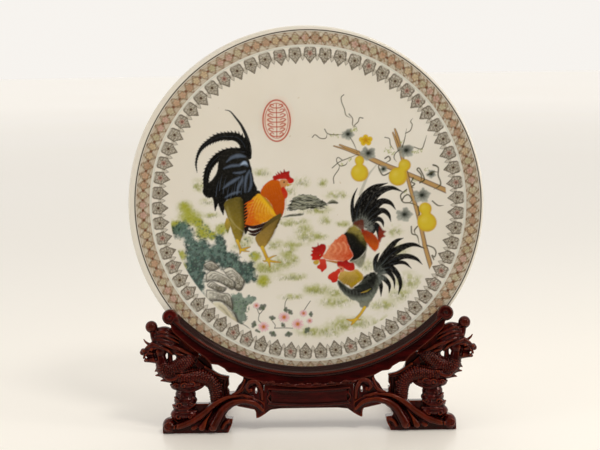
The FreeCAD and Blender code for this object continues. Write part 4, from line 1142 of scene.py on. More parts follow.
# Thickness of the paint in millimetres, and the thinnest paint that is kept
ENAMEL_UNDER = 0.02
ENAMEL_STEP = 0.05
ENAMEL_RISE = 0.035
ENAMEL_SINK = 0.12
FULL_STEP_COVER = 0.1
LEAST_COVER = 0.02


def enamel_sheet(name, x, y, rgb, cover, keep, wraps=False):
    """A closed thin skin of enamel over the kept cells of a grid of points."""
    columns = x.shape[1]
    following = (np.arange(columns) + 1) % columns
    if not wraps:
        keep = keep[:, :-1]
    rows_at, columns_at = np.nonzero(keep)
    after = following[columns_at]
    corners = np.stack([
        rows_at * columns + columns_at,
        rows_at * columns + after,
        (rows_at + 1) * columns + after,
        (rows_at + 1) * columns + columns_at,
    ], axis=1)
    used, packed = np.unique(corners, return_inverse=True)
    packed = packed.reshape(corners.shape)
    ux = x.ravel()[used]
    uy = y.ravel()[used]
    n = dish_n(np.hypot(ux, uy))
    amount = cover.ravel()[used]
    step = ENAMEL_STEP * np.clip(amount / FULL_STEP_COVER, 0, 1)
    rise = step + ENAMEL_RISE * amount - ENAMEL_UNDER
    tops = np.stack([ux, uy + PLATE_W, n + rise], axis=1)
    lows = np.stack([ux, uy + PLATE_W, n - ENAMEL_SINK], axis=1)
    count = len(used)
    edges = np.vstack([packed[:, [0, 1]], packed[:, [1, 2]], packed[:, [2, 3]], packed[:, [3, 0]]])
    code = edges[:, 0] * count + edges[:, 1]
    mirrored = edges[:, 1] * count + edges[:, 0]
    rim = edges[~np.isin(code, mirrored)]
    walls = np.stack([rim[:, 1], rim[:, 0], rim[:, 0] + count, rim[:, 1] + count], axis=1)
    faces = np.vstack([packed, packed[:, ::-1] + count, walls])
    world = place(np.vstack([tops, lows]))
    mesh = bpy.data.meshes.new(name)
    mesh.vertices.add(len(world))
    mesh.vertices.foreach_set("co", world.ravel())
    mesh.loops.add(faces.size)
    mesh.loops.foreach_set("vertex_index", faces.ravel())
    mesh.polygons.add(len(faces))
    mesh.polygons.foreach_set("loop_start", np.arange(0, faces.size, 4))
    mesh.polygons.foreach_set("use_smooth", np.ones(len(faces), bool))
    mesh.update(calc_edges=True)
    colour = mesh.attributes.new("paint", "FLOAT_COLOR", "POINT")
    values = np.ones((2 * count, 4))
    values[:count, :3] = rgb.reshape(-1, 3)[used]
    values[count:, :3] = values[:count, :3]
    values[:count, 3] = amount
    values[count:, 3] = amount
    colour.data.foreach_set("color", values.ravel())
    return new_object(name, mesh)


def cells_with_paint(cover):
    """The grid cells that have paint on at least one corner."""
    most = np.maximum.reduce([cover[:-1, :-1], cover[1:, :-1], cover[:-1, 1:], cover[1:, 1:]])
    keep = np.zeros(cover.shape, bool)
    keep[:-1, :-1] = most > LEAST_COVER
    return keep


SPLIT_X = 0.0
SPLIT_Y = -30.0


def picture_pieces():
    """The painted picture as four skins that meet along two lines."""
    canvas = paint_picture(PICTURE_PITCH)
    keep = cells_with_paint(canvas.cover)
    upper = canvas.y > SPLIT_Y
    right = canvas.x > SPLIT_X
    quarters = {
        "enamel_tall_bird": upper & ~right,
        "enamel_trellis": upper & right,
        "enamel_garden": ~upper & ~right,
        "enamel_small_birds": ~upper & right,
    }
    pieces = []
    for name, part in quarters.items():
        pieces.append(enamel_sheet(name, canvas.x, canvas.y, canvas.rgb, canvas.cover, keep & part))
    return pieces


BORDER_LINE = linear(64, 56, 42)
LATTICE_BROWN = linear(134, 110, 78)
LATTICE_KNOT = linear(112, 58, 38)
LATTICE_GROUND = linear(192, 181, 156)
LATTICE_BLUSH = linear(170, 120, 90)
RING_PALE = linear(214, 216, 204)
PETAL_LINE = linear(110, 101, 86)
PETAL_FILL = linear(180, 171, 154)
PETAL_HEART = linear(72, 44, 34)
PETAL_ROSE = linear(124, 84, 72)
FLOWER_TONES = (linear(200, 150, 112), linear(198, 190, 150), linear(206, 156, 146),
                linear(186, 180, 134), linear(212, 186, 140), linear(180, 130, 92))


def over(state, colour, amount):
    """Lays one more coat over (rgb, cover)."""
    rgb, cover = state
    amount = np.clip(amount, 0, 1)
    total = amount + cover * (1 - amount)
    share = (amount / np.maximum(total, TINY))[..., None]
    return rgb * (1 - share) + colour * share, total


def band(value, middle, half, soft=0.35):
    """1 within half of the middle, fading out over soft."""
    return np.clip((half - np.abs(value - middle)) / soft + 0.5, 0, 1)


def lattice_coats(state, r, turn):
    """Diamonds with small flowers between two lines near the rim."""
    wobble = noise(turn * r, r, 2.6, 37) - 0.5
    u = turn * DIAMONDS / TURN + 0.09 * wobble
    v = (r - LATTICE_INNER) / DIAMOND_HIGH + 0.07 * (noise(turn * r, r, 2.1, 41) - 0.5)
    inside = band(r, LATTICE_MIDDLE, LATTICE_HALF)
    rising = np.abs((u + v) - np.round(u + v))
    falling = np.abs((u - v) - np.round(u - v))
    index = np.round(u).astype(int)
    across = (u - index) * DIAMOND_WIDE
    upward = (v - 0.5) * DIAMOND_HIGH
    far = np.hypot(across, upward)
    swirl = np.arctan2(upward, across)
    petal = 3.1 + 0.55 * np.cos(5 * swirl + index)
    speck = noise(turn * r, r, 1.1, 23)
    state = over(state, LATTICE_GROUND, inside * (0.55 + 0.35 * speck))
    state = over(state, LATTICE_BROWN, inside * np.clip(speck * 1.8 - 1.0, 0, 0.6))
    hue = (index * 5 + index // 3) % len(FLOWER_TONES)
    flower = 0.62 * inside * np.clip((petal - far) / 0.8 + 0.5, 0, 1)
    for tone, colour in enumerate(FLOWER_TONES):
        state = over(state, colour, flower * (hue == tone))
    state = over(state, LATTICE_BROWN, 0.75 * inside * band(far, petal + 0.2, 0.5))
    state = over(state, LATTICE_BROWN, 0.35 * inside * band(far, 1.5, 0.3))
    state = over(state, LATTICE_KNOT, 0.55 * inside * np.clip(1.0 - far, 0, 1))
    blush = noise(turn * r, r, 1.5, 53)
    state = over(state, LATTICE_BLUSH, inside * np.clip(blush * 2.6 - 1.55, 0, 0.6))
    thin = np.clip(0.2 + 1.0 * speck, 0, 0.85)
    state = over(state, LATTICE_BROWN, thin * inside * np.clip(1.5 - rising * 11, 0, 1))
    state = over(state, LATTICE_BROWN, thin * inside * np.clip(1.5 - falling * 11, 0, 1))
    corner_u = u - 0.5 - np.round(u - 0.5)
    knot = np.hypot(corner_u * DIAMOND_WIDE, upward)
    state = over(state, LATTICE_KNOT, 0.85 * inside * np.clip(1.8 - knot, 0, 1))
    for edge in (LATTICE_INNER, LATTICE_OUTER):
        state = over(state, LATTICE_BROWN, 0.55 * band(r, edge, 0.25))
        ends = np.hypot(across, r - edge)
        state = over(state, LATTICE_KNOT, 0.6 * inside * np.clip(1.5 - ends, 0, 1))
    return state


PETAL_PHASE = 0.3
HEART_DEPTH = 5.6


def petal_coats(state, r, turn):
    """A ring of pointed petals with dark hearts, tips to the middle."""
    u = turn * PETALS / TURN - PETAL_PHASE
    index = np.round(u).astype(int)
    x = (u - index) * TURN * r / PETALS
    index = index % PETALS
    d = PETAL_FEET - r
    corner = np.clip((1.6 - d) / 2.6, 0, 1)
    body = 5.7 + 0.7 * np.clip(d / 8, 0, 1) - 2.6 * corner**2
    taper = np.clip((15.4 - d) / 7.0, 0, 1)
    half = np.where(d < 8.4, body, np.minimum(5.2 * taper, 6.4 - 2.2 * (d - 8.4)**2))
    half = np.where(d > 9.4, 5.2 * taper, half)
    ragged = noise(turn * r, r, 1.3, 29) - 0.5
    half = np.where(half > 0, half + 0.5 * ragged, half)
    half = np.where(d < -0.4, 0, half)
    gap = half - np.abs(x)
    inside = np.clip(gap / 0.35 + 0.5, 0, 1) * (d > -0.5)
    spread = math.pi * r / PETALS - np.abs(x)
    small = 2.5 * np.clip((12.4 - d) / 4.2, 0, 1) ** 0.8
    between = np.clip((small - spread) / 0.4 + 0.5, 0, 1) * (d > 5.6) * (1 - inside)
    state = over(state, PETAL_FILL, 0.62 * between)
    between_line = band(small - spread, 0.15, 0.3) * (d > 6) * (d < 12.8) * (1 - inside)
    state = over(state, PETAL_LINE, 0.75 * between_line)
    speck = noise(turn * r, r, 0.75, 17)
    coarse = noise(turn * r, r, 1.7, 19)
    state = over(state, PETAL_FILL, inside * (0.6 + 0.32 * coarse))
    state = over(state, PETAL_LINE, inside * np.clip(speck * 2.6 - 1.08, 0, 0.85))
    state = over(state, PETAL_LINE, 0.95 * band(gap, 0.45, 0.6) * (d > -0.5))
    heart = np.hypot(x, d - HEART_DEPTH)
    swirl = np.arctan2(x, d - HEART_DEPTH)
    curls = ((3.7, 2.6, 1.5), (3.8, 8.2, 1.4), (0.0, 11.0, 1.7))
    for across, deep, size in curls:
        curl = np.hypot(np.abs(x) - across, d - deep)
        state = over(state, PETAL_LINE, 0.7 * inside * band(curl, size, 0.3))
    rosy = (index % 4 == 0) | (index % 7 == 0)
    edge = 2.5 + 0.7 * np.cos(5 * swirl)
    tone = np.where(rosy[..., None], linear(190, 148, 132), linear(172, 162, 138))
    state = over(state, tone, 0.8 * inside * np.clip((edge - heart) / 0.5 + 0.5, 0, 1))
    state = over(state, PETAL_LINE, 0.75 * inside * band(heart, edge, 0.3))
    dark = np.where(rosy[..., None], PETAL_ROSE, PETAL_HEART)
    state = over(state, dark, 0.95 * np.clip((1.35 - heart) / 0.4 + 0.5, 0, 1))
    return state


def border_paint(r, turn):
    """Colour and cover of the whole border at grids of radius and angle."""
    state = (np.zeros(r.shape + (3,)), np.zeros(r.shape))
    state = lattice_coats(state, r, turn)
    state = petal_coats(state, r, turn)
    state = over(state, RING_PALE, 0.7 * band(r, PALE_RING, 0.7))
    state = over(state, BORDER_LINE, band(r, OUTER_LINE, 0.6))
    return state


CELL_SAMPLES = (-0.33, 0.0, 0.33)


def border_piece(name, inner, outer, radial, around):
    """One ring of the border as a polar grid, with colours averaged per cell."""
    radii = np.linspace(inner, outer, radial)
    turns = np.linspace(0, TURN, around, endpoint=False)
    turn, r = np.meshgrid(turns, radii)
    step_r = radii[1] - radii[0]
    step_turn = turns[1] - turns[0]
    rgb = np.zeros(r.shape + (3,))
    cover = np.zeros(r.shape)
    for shift_r in CELL_SAMPLES:
        for shift_turn in CELL_SAMPLES:
            colour, amount = border_paint(r + shift_r * step_r, turn + shift_turn * step_turn)
            rgb += colour * amount[..., None]
            cover += amount
    rgb /= np.maximum(cover, TINY)[..., None]
    cover /= len(CELL_SAMPLES) ** 2
    keep = np.ones(r.shape, bool)
    keep[-1] = False
    x = BORDER_SHIFT + r * np.sin(turn)
    y = r * np.cos(turn)
    flipped = np.s_[:, ::-1]
    return enamel_sheet(name, x[flipped], y[flipped], rgb[flipped], cover[flipped], keep, wraps=True)


def border_pieces():
    """The border as two rings."""
    return [
        border_piece("enamel_petal_ring", PETAL_TIPS, RINGS_MEET, 31, 1500),
        border_piece("enamel_lattice_ring", RINGS_MEET, BORDER_OUTER, 29, 1700),
    ]


# ------------------------------------------------------------------- carving

VOXEL = 0.55
SCALE_WIDE = 2.6
SCALE_LONG = 0.82 * SCALE_WIDE
SCALE_HIGH = 0.8
FRONT_FACING = 0.15
PAD_PROUD = 0.5
RELIEF_STEPS = 40
FINE_RELIEF_STEP = 5
FINE_GAIN = 1.5
BROAD_GAIN = 0.7


class Carving:
    """Overlapping closed solids in (x, w, n) mm, fused into one carved skin."""

    def __init__(self):
        self.points = []
        self.faces = []
        self.grooves = []
        self.scales = []

    def add(self, points, faces):
        """Takes in one closed solid."""
        base = len(self.points)
        self.points += [tuple(p) for p in points]
        self.faces += [[base + i for i in face] for face in faces]

    def tube(self, path, flat=1.0, sides=14):
        """A limb through (x, w, n, radius) points, with rounded ends."""
        line = smooth_line(path, steps=5)
        centre = line[:, :3]
        radius = np.maximum(line[:, 3], 0.2)
        along = np.gradient(centre, axis=0)
        along /= np.linalg.norm(along, axis=1)[:, None]
        caps = np.radians([80.0, 55.0, 28.0])
        first = [(centre[0] - along[0] * radius[0] * math.sin(a), radius[0] * math.cos(a), along[0])
                 for a in caps]
        last = [(centre[-1] + along[-1] * radius[-1] * math.sin(a), radius[-1] * math.cos(a), along[-1])
                for a in caps[::-1]]
        rings = first + list(zip(centre, radius, along)) + last
        points = []
        for middle, size, ahead in rings:
            side = np.cross(ahead, (0, 0, 1.0))
            side /= max(np.linalg.norm(side), TINY)
            top = np.cross(side, ahead)
            for i in range(sides):
                turn = TURN * i / sides
                points.append(middle + size * (side * math.cos(turn) + top * flat * math.sin(turn)))
        self.add(points, closed_rings(len(rings), sides))

    def blob(self, x, w, n, across, up=None, deep=None):
        """An egg of the given half sizes."""
        up = up or across
        deep = deep or across
        rows, columns = 9, 16
        points = [(x, w + up, n)]
        for row in range(1, rows):
            fall = math.pi * row / rows
            for column in range(columns):
                turn = TURN * column / columns
                points.append((x + across * math.sin(fall) * math.cos(turn), w + up * math.cos(fall),
                               n + deep * math.sin(fall) * math.sin(turn)))
        points.append((x, w - up, n))
        last = len(points) - 1
        faces = []
        for column in range(columns):
            after = (column + 1) % columns
            faces.append([0, 1 + after, 1 + column])
            for row in range(rows - 2):
                a = 1 + row * columns
                faces.append([a + column, a + after, a + columns + after, a + columns + column])
            a = 1 + (rows - 2) * columns
            faces.append([a + column, a + after, last])
        self.add(points, faces)

    def board(self, outline, back, front):
        """A flat board with an outline of (x, w) points, either way round."""
        outline = np.asarray(outline, float)
        x, w = outline.T
        area = np.sum(x * np.roll(w, -1) - np.roll(x, -1) * w)
        if area < 0:
            outline = outline[::-1]
        count = len(outline)
        points = [(x, w, front) for x, w in outline] + [(x, w, back) for x, w in outline]
        faces = [list(range(count)), [count + i for i in range(count)][::-1]]
        for i in range(count):
            j = (i + 1) % count
            faces.append([i, count + i, count + j, j])
        self.add(points, faces)

    def groove(self, path, half, depth):
        """A cut, or with a negative depth a ridge, along (x, w) points."""
        self.grooves.append((smooth_line(path, steps=5), half, depth))

    def scaled(self, path, reach):
        """Scales over the skin near a limb's (x, w, n, radius) path."""
        self.scales.append((smooth_line(path, steps=8), reach))

    def skin(self, voxel=VOXEL, softening=2):
        """The fused surface as points, faces, and relief at each point."""
        mesh = bpy.data.meshes.new("carving")
        mesh.from_pydata(self.points, [], self.faces)
        block = new_object("carving", mesh)
        fuse = block.modifiers.new("fuse", "REMESH")
        fuse.mode = "VOXEL"
        fuse.voxel_size = voxel
        soften = block.modifiers.new("soften", "SMOOTH")
        soften.factor = 0.5
        soften.iterations = softening
        graph = bpy.context.evaluated_depsgraph_get()
        fused = bpy.data.meshes.new_from_object(block.evaluated_get(graph))
        bpy.data.objects.remove(block)
        bpy.data.meshes.remove(mesh)
        points = read(fused.vertices, "co", 3)
        normals = read(fused.vertices, "normal", 3)
        for path, half, depth in self.grooves:
            near, _ = nearest_on(points[:, :2], path)
            shape = np.clip(1 - (near / half) ** 2, 0, 1) ** 1.5
            front = np.clip((normals[:, 2] - FRONT_FACING) / 0.4, 0, 1)
            points[:, 2] -= depth * shape * front
        for path, reach in self.scales:
            points += normals * scale_height(points, path, reach)[:, None]
        fused.vertices.foreach_set("co", points.astype(np.float32).ravel())
        fused.update()
        normals = read(fused.vertices, "normal", 3)
        relief = surface_relief(fused, points, normals)
        faces = [tuple(face.vertices) for face in fused.polygons]
        bpy.data.meshes.remove(fused)
        return points, faces, relief


def read(things, field, width):
    """One vector field of a mesh's elements, as rows."""
    values = np.empty(len(things) * width, np.float32)
    things.foreach_get(field, values)
    return values.reshape(-1, width).astype(float)


def nearest_on(points, path):
    """Distance to a polyline, and how far along it the nearest point is."""
    best = np.full(len(points), FAR)
    where = np.zeros(len(points))
    run = 0.0
    for a, b in zip(path[:-1], path[1:]):
        step = b - a
        length = np.linalg.norm(step)
        t = np.clip((points - a) @ step / max(length**2, 1e-9), 0, 1)
        gap = np.linalg.norm(points - a - t[:, None] * step, axis=1)
        closer = gap < best
        best[closer] = gap[closer]
        where[closer] = run + t[closer] * length
        run += length
    return best, where


def scale_height(points, path, reach):
    """Roof-tile scales in staggered rows along a limb."""
    gap, along = nearest_on(points, path[:, :3])
    spine = np.concatenate([[0], np.cumsum(np.linalg.norm(np.diff(path[:, :3], axis=0), axis=1))])
    middle = np.stack([np.interp(along, spine, path[:, k]) for k in range(3)], axis=1)
    radius = np.interp(along, spine, path[:, 3])
    ahead = np.stack([np.interp(along, spine, np.gradient(path[:, k])) for k in range(2)], axis=1)
    ahead /= np.maximum(np.linalg.norm(ahead, axis=1), TINY)[:, None]
    offset = points - middle
    side = offset[:, 0] * ahead[:, 1] - offset[:, 1] * ahead[:, 0]
    turn = np.arctan2(side, offset[:, 2])
    u = along / SCALE_LONG
    row = np.floor(u)
    v = turn * radius / SCALE_WIDE + 0.5 * (row % 2)
    across = (v - np.floor(v) - 0.5) * 2
    tile = (u - row) * np.sqrt(np.clip(1 - across**2, 0, 1))
    near = np.clip((radius * reach - gap) / 0.8, 0, 1) * np.clip(along / 3, 0, 1)
    return SCALE_HIGH * (tile - 0.35) * near


def surface_relief(mesh, points, normals):
    """How far each point stands out from its surroundings, in mm."""
    edges = np.empty(len(mesh.edges) * 2, np.int32)
    mesh.edges.foreach_get("vertices", edges)
    a, b = edges.reshape(-1, 2).T
    count = len(points)
    degree = np.bincount(a, minlength=count) + np.bincount(b, minlength=count)
    soft = points.copy()
    relief = np.zeros(count)
    for step in range(1, RELIEF_STEPS + 1):
        total = np.empty_like(soft)
        for k in range(3):
            total[:, k] = np.bincount(a, soft[b, k], count) + np.bincount(b, soft[a, k], count)
        soft = 0.3 * soft + 0.7 * total / np.maximum(degree, 1)[:, None]
        if step == FINE_RELIEF_STEP:
            relief += FINE_GAIN * np.sum((points - soft) * normals, axis=1)
    return relief + BROAD_GAIN * np.sum((points - soft) * normals, axis=1)


def carved(name, skin, flip=False):
    """A scene object from a carved skin, mirrored when it is flipped."""
    points, faces, relief = skin
    if flip:
        points = points * (-1, 1, 1)
        faces = [face[::-1] for face in faces]
    piece = mesh_object(name, place(points), faces)
    # The relief attribute drives the painted shade in hollows and the painted highlight on crests.
    values = piece.data.attributes.new("relief", "FLOAT_COLOR", "POINT")
    amount = np.clip(0.5 + 0.5 * relief, 0, 1)
    values.data.foreach_set("color", np.repeat(amount, 4))
    return piece


def cut_level(piece, height):
    """Saws a piece off level at a height in metres, and closes the cut."""
    solid = bmesh.new()
    solid.from_mesh(piece.data)
    everything = solid.verts[:] + solid.edges[:] + solid.faces[:]
    cut = bmesh.ops.bisect_plane(solid, geom=everything, plane_co=(0, 0, height), plane_no=(0, 0, 1),
                                 clear_inner=True)
    rim = [item for item in cut["geom_cut"] if isinstance(item, bmesh.types.BMEdge)]
    bmesh.ops.contextual_create(solid, geom=rim)
    bmesh.ops.recalc_face_normals(solid, faces=solid.faces[:])
    solid.to_mesh(piece.data)
    solid.free()


# ------------------------------------------------------------------- dragons

DRAGON_BODY = [(90.8, 28, 4, 5.6), (91.4, 33, 4, 5.8), (91.7, 38, 4, 6.0), (93, 44.5, 4, 6.6),
               (97, 49.5, 4, 7.2), (104, 52.8, 4, 7.8), (113, 53, 4, 8.2), (122, 52.5, 5, 8.4),
               (131, 55, 5, 7.6), (137.5, 57.6, 5, 7.2), (142, 61.5, 5, 6.8), (143.8, 67, 5, 6.0),
               (145, 73, 5, 5.6)]
DRAGON_COIL = [(111.6, 73.4, 2, 4.2), (116.4, 70.4, 3, 6.6), (122, 66.8, 4, 8.0), (128.4, 62.6, 5, 7.8),
               (134, 61, 5, 7.4), (140, 61.6, 5, 6.4)]


def dragon_body(c):
    """The scaled body and coil, with fins and a leg."""
    c.tube(DRAGON_BODY)
    c.tube(DRAGON_COIL)
    c.scaled(DRAGON_BODY[:-1], 1.12)
    c.scaled(DRAGON_COIL, 1.12)
    c.tube([(132.5, 50.5, 5, 3.4), (137, 50.8, 5, 3.0), (141, 50.6, 5, 2.0), (144.8, 49.8, 5, 0.7)], 1.4)
    c.tube([(140, 55, 5, 3.8), (145, 55.6, 5, 2.2), (149.8, 55.2, 5, 0.7)], 1.4)
    c.tube([(145, 62, 5, 3.2), (148.6, 60.4, 5, 1.6), (150.4, 59, 5, 0.6)], 1.4)
    c.blob(127, 60.5, 9.6, 5.8, 4.4, 2.8)
    c.tube([(124, 57, 11, 2.2), (130, 52.5, 12, 2.0), (136, 51.5, 11.5, 1.6), (140, 53.5, 10.5, 0.8)])
    c.groove([(104, 60.6), (112, 59.5), (121, 57.6), (130, 57.4)], 0.8, 1.6)


def dragon_head(c):
    """The head with its open jaw, eyes, horn and the ball above it."""
    c.blob(146, 79, 4, 7.8, 7.2, 7.4)
    c.tube([(147, 81, 4, 6.4), (150, 80.5, 4, 6.2), (155, 79, 4, 5.0), (159.5, 77.9, 4, 3.9),
            (162.2, 77.7, 4, 3.0)], 1.1)
    c.blob(161.6, 79.6, 4, 2.6, 2.4, 3.8)
    for n in (0.6, 7.4):
        c.blob(160.6, 79.4, n, 2.0, 1.9, 1.6)
    c.tube([(158.8, 76.2, 8.0, 1.5), (160.6, 73.8, 8.2, 1.0), (161.0, 72.0, 8.2, 0.5)])
    c.tube([(158.8, 76.2, 0.0, 1.5), (160.6, 73.8, -0.2, 1.0), (161.0, 72.0, -0.2, 0.5)])
    c.tube([(146, 71.5, 4, 4.4), (149.8, 70.6, 4, 3.8), (155, 70.4, 4, 2.8), (159.6, 69.8, 4, 1.8)], 1.5)
    c.tube([(158, 70.4, 7.4, 1.2), (159.6, 72.8, 7.4, 0.7)])
    c.tube([(152, 73, 4, 2.0), (156, 72.6, 4.4, 1.3), (158.2, 74, 4.6, 0.7)], 1.4)
    c.tube([(148, 84.6, 8, 2.2), (152.5, 85, 8.4, 2.0), (156.6, 83.6, 7.6, 1.6), (159.4, 81.6, 6.4, 0.9)])
    c.blob(152.6, 81.2, 9.2, 2.2, 2.0, 1.8)
    c.blob(152.6, 81.2, -1.2, 2.2, 2.0, 1.8)
    c.tube([(153, 84.6, 4, 2.2), (156.6, 86, 4, 1.5), (159.2, 88, 4, 1.1), (161, 90.6, 4, 0.6)], 1.2)
    c.tube([(147, 84, 4, 4.6), (149.4, 89, 4, 4.0), (151.2, 93.5, 4, 3.4), (152.2, 98.6, 4, 3.0)], 1.2)
    c.blob(153.3, 102.7, 4, 6.1, 6.1, 6.1)
    c.groove([(147.6, 97), (152, 98.6), (156.4, 98)], 0.9, 1.2)
    c.groove([(148.4, 80.8), (151.2, 78.4), (154.6, 79)], 1.1, 1.8)
    c.groove([(157.2, 78.6), (159.4, 77), (160.2, 74.8)], 0.7, 0.9)
    c.groove([(150.4, 79.4), (149.6, 75.4), (148.8, 71.6)], 2.6, 2.4)


MANE = [
    [(150.4, 90.4, 6, 2.6), (143, 90, 8, 2.2), (134.3, 87.1, 7, 1.9), (127.4, 83.6, 5, 0.9)],
    [(152.5, 86.8, 8, 1.8), (147.6, 84.6, 9, 2.2), (143, 82.6, 9, 2.0), (137, 79.6, 8, 1.5),
     (132.4, 75.2, 6, 0.8)],
    [(136.6, 84.6, 6, 2.6), (130.6, 82.8, 8, 2.2), (124, 80, 8, 2.1), (118.8, 77, 7, 1.7),
     (110, 73, 5, 0.9)],
    [(149, 96.6, 5, 2.6), (142.5, 98, 7, 2.4), (137, 95.7, 7, 2.2), (131.6, 93.5, 6, 1.7),
     (126, 89.4, 4, 0.8)],
    [(146.6, 100, 4, 2.0), (140.8, 100.2, 5, 2.5), (135.5, 98.4, 5, 2.5), (131.6, 96, 4, 1.6),
     (129, 95, 3, 0.7)],
    [(148.6, 93.4, 7, 1.8), (141.4, 94, 8.4, 1.8), (134, 91, 8, 1.6), (127, 86.6, 6, 0.8)],
    [(146.4, 87.6, 8, 1.8), (140, 86, 9, 1.8), (133, 82.6, 8.6, 1.5), (126.4, 77.2, 7, 0.8)],
    [(133, 79.6, 5, 1.8), (127.4, 76.4, 6.8, 1.7), (121.4, 74, 6.6, 1.4), (115.6, 71.4, 5, 0.7)],
]


def dragon_mane(c):
    """The pierced mane between the head and the coil, on both faces."""
    outline = [(151, 95), (146.4, 98.6), (140, 99.4), (134.4, 98.6), (130.4, 95.4), (124.6, 90),
               (117.6, 83.8), (111.4, 78.6), (107, 74.4), (109, 71), (116, 70), (123, 71.6),
               (128.6, 73.6), (133.4, 75.8), (138, 80.4), (144, 82), (150, 84)]
    c.board(smooth_line(outline, closed=True, steps=4), -4, 4.4)
    for strand in MANE:
        c.tube(strand, 1.25, 10)
        c.tube([(x, w, -0.4 * n, r) for x, w, n, r in strand], 1.25, 10)
    c.tube([(135.8, 80, 3, 2.8), (135.5, 74, 3, 2.4), (135.8, 66, 3, 3.4)], 1.3)
    c.tube([(127.6, 76, 3, 2.6), (127.4, 72, 3, 2.4), (126.6, 66, 3, 3.4)], 1.3)
    c.tube([(147.4, 79, 3, 4.0), (147.6, 73, 3, 3.4), (146, 67, 3, 4.0)], 1.2)


def dragon():
    """The right-hand dragon, with the fin that joins it to the rail."""
    c = Carving()
    dragon_body(c)
    dragon_head(c)
    dragon_mane(c)
    fin = [(77.8, 52.7), (83, 54), (87.8, 55.4), (95, 59.8), (101, 63.4), (107, 68.4), (111.6, 73.4),
           (113.4, 70), (109, 62), (103, 57.6), (98.7, 56.4), (91.5, 52), (82.3, 49.6)]
    c.board(smooth_line(fin, closed=True, steps=4), -4, 3)
    c.tube([(78.4, 52.2, 3, 0.9), (87.6, 54.2, 3.4, 1.4), (95, 58.4, 3.4, 1.6), (101, 62.2, 3, 1.8)], 1.3)
    c.board([(78.6, 51.6), (78.2, 44), (80, 41.6), (78, 38.6), (78.4, 33.6), (88, 30), (90, 50), (92, 56)],
            -6.5, 0)
    c.board([(83.4, 33), (87, 31), (88, 46), (84.6, 46)], -2, 5.4)
    c.board([(94, 57), (95.4, 64), (99.6, 69.6), (105, 73.4), (114, 75), (122, 72), (124, 60), (104, 56)],
            -6, -0.4)
    c.groove([(80.6, 48.6), (81.6, 42), (80.8, 35)], 0.7, 1.1)
    c.groove([(84.2, 49.6), (84.8, 42), (84.2, 34)], 0.7, 1.1)
    return c


# ------------------------------------------------------- legs and their neighbours


def cloud_scroll(c, x, w, n, size, turn, hand):
    """A flat curled scroll on the front of a cloud."""
    path = []
    for step in range(14):
        sweep = turn + hand * step * 0.52
        radius = size * (1 - step / 16)
        path.append((x + radius * math.cos(sweep), w + 0.8 * radius * math.sin(sweep), n + 0.1 * step,
                     0.28 * size * (1 - step / 26)))
    c.tube(path, 1.2, 10)


CLOUD_SCROLLS = [
    (113.4, 46.4, 11.6, 3.6, 0.4, 1), (121.6, 45.6, 13.6, 3.4, 2.6, -1),
    (129.2, 45.4, 12.6, 3.0, 0.4, 1), (122.8, 34.6, 10.6, 3.0, 2.4, -1),
    (126, 26.6, 12.6, 3.2, 0.2, 1), (116.2, 27, 11.6, 2.6, 2.8, -1),
    (126.6, 15.4, 13.2, 3.6, 2.8, -1), (116.6, 15.6, 13.0, 3.0, 0.6, 1)]


def cloud_pillar():
    """A heap of clouds that carries the dragon."""
    c = Carving()
    c.blob(120, 45.6, 3, 14.6, 5.4, 11.6)
    c.blob(112.6, 45.8, 4, 9.2, 4.6, 8.6)
    c.blob(128, 45, 5, 7.6, 4.8, 9.0)
    c.tube([(101.2, 46.6, 4, 0.9), (105, 44.2, 6, 2.0), (110, 42.5, 8, 2.6), (116, 40.6, 9, 2.6),
            (124, 42.6, 10, 2.4), (130, 45.4, 9, 2.0), (134.8, 46, 7, 1.2)])
    c.blob(121, 36, 3, 10.2, 8.5, 8.8)
    c.blob(121, 30.4, 3, 11.6, 6.0, 10.2)
    c.blob(122.4, 24.4, 3, 11.8, 5.6, 11.0)
    c.blob(122, 17.2, 3, 13.2, 6.2, 11.6)
    c.blob(116, 17.4, 5, 7.6, 5.4, 9.4)
    c.blob(129, 17, 5, 6.8, 5.8, 9.0)
    c.tube([(113, 33, 9, 1.3), (119, 30.2, 11, 1.7), (126, 30.8, 10.4, 1.7), (131, 34, 7.6, 1.0)])
    c.tube([(111.6, 27, 9, 1.2), (118, 23.6, 12, 1.8), (126, 23.4, 12.2, 1.9), (133, 26.6, 8.4, 1.0)])
    c.tube([(110.6, 20, 9, 1.2), (118, 20, 12.8, 1.5), (127, 19.6, 12.6, 1.6), (134.6, 17.4, 8, 1.0)])
    c.board([(97.4, 26.8), (113, 26.8), (114, 12), (106, 14), (100, 20)], -7, 5.4)
    for scroll in CLOUD_SCROLLS:
        cloud_scroll(c, *scroll)
    return c


LEG_OUTLINE = [
    (80, -3.5), (110, -3.5), (143.2, -3.5), (143.4, 4), (142, 8.6), (139, 12), (134.6, 13.2), (131, 11),
    (127.7, 9.4), (119.4, 12.6), (110.1, 16.4), (100.9, 23), (95.4, 27.6), (88, 32), (79, 35.2),
    (70, 36), (60, 34), (50, 30), (43.4, 26), (43.4, 15.6), (46.4, 13.6), (49.0, 12.2), (51.8, 11.4),
    (52.2, 17.6), (54.2, 21.6), (59, 24.2), (65.7, 25.2), (73.6, 23.4), (79.2, 19), (82, 15),
    (81.2, 12.2), (78, 11.8), (75, 11.4), (75.2, 7.8), (76.2, 4.4), (78, 1.2)]


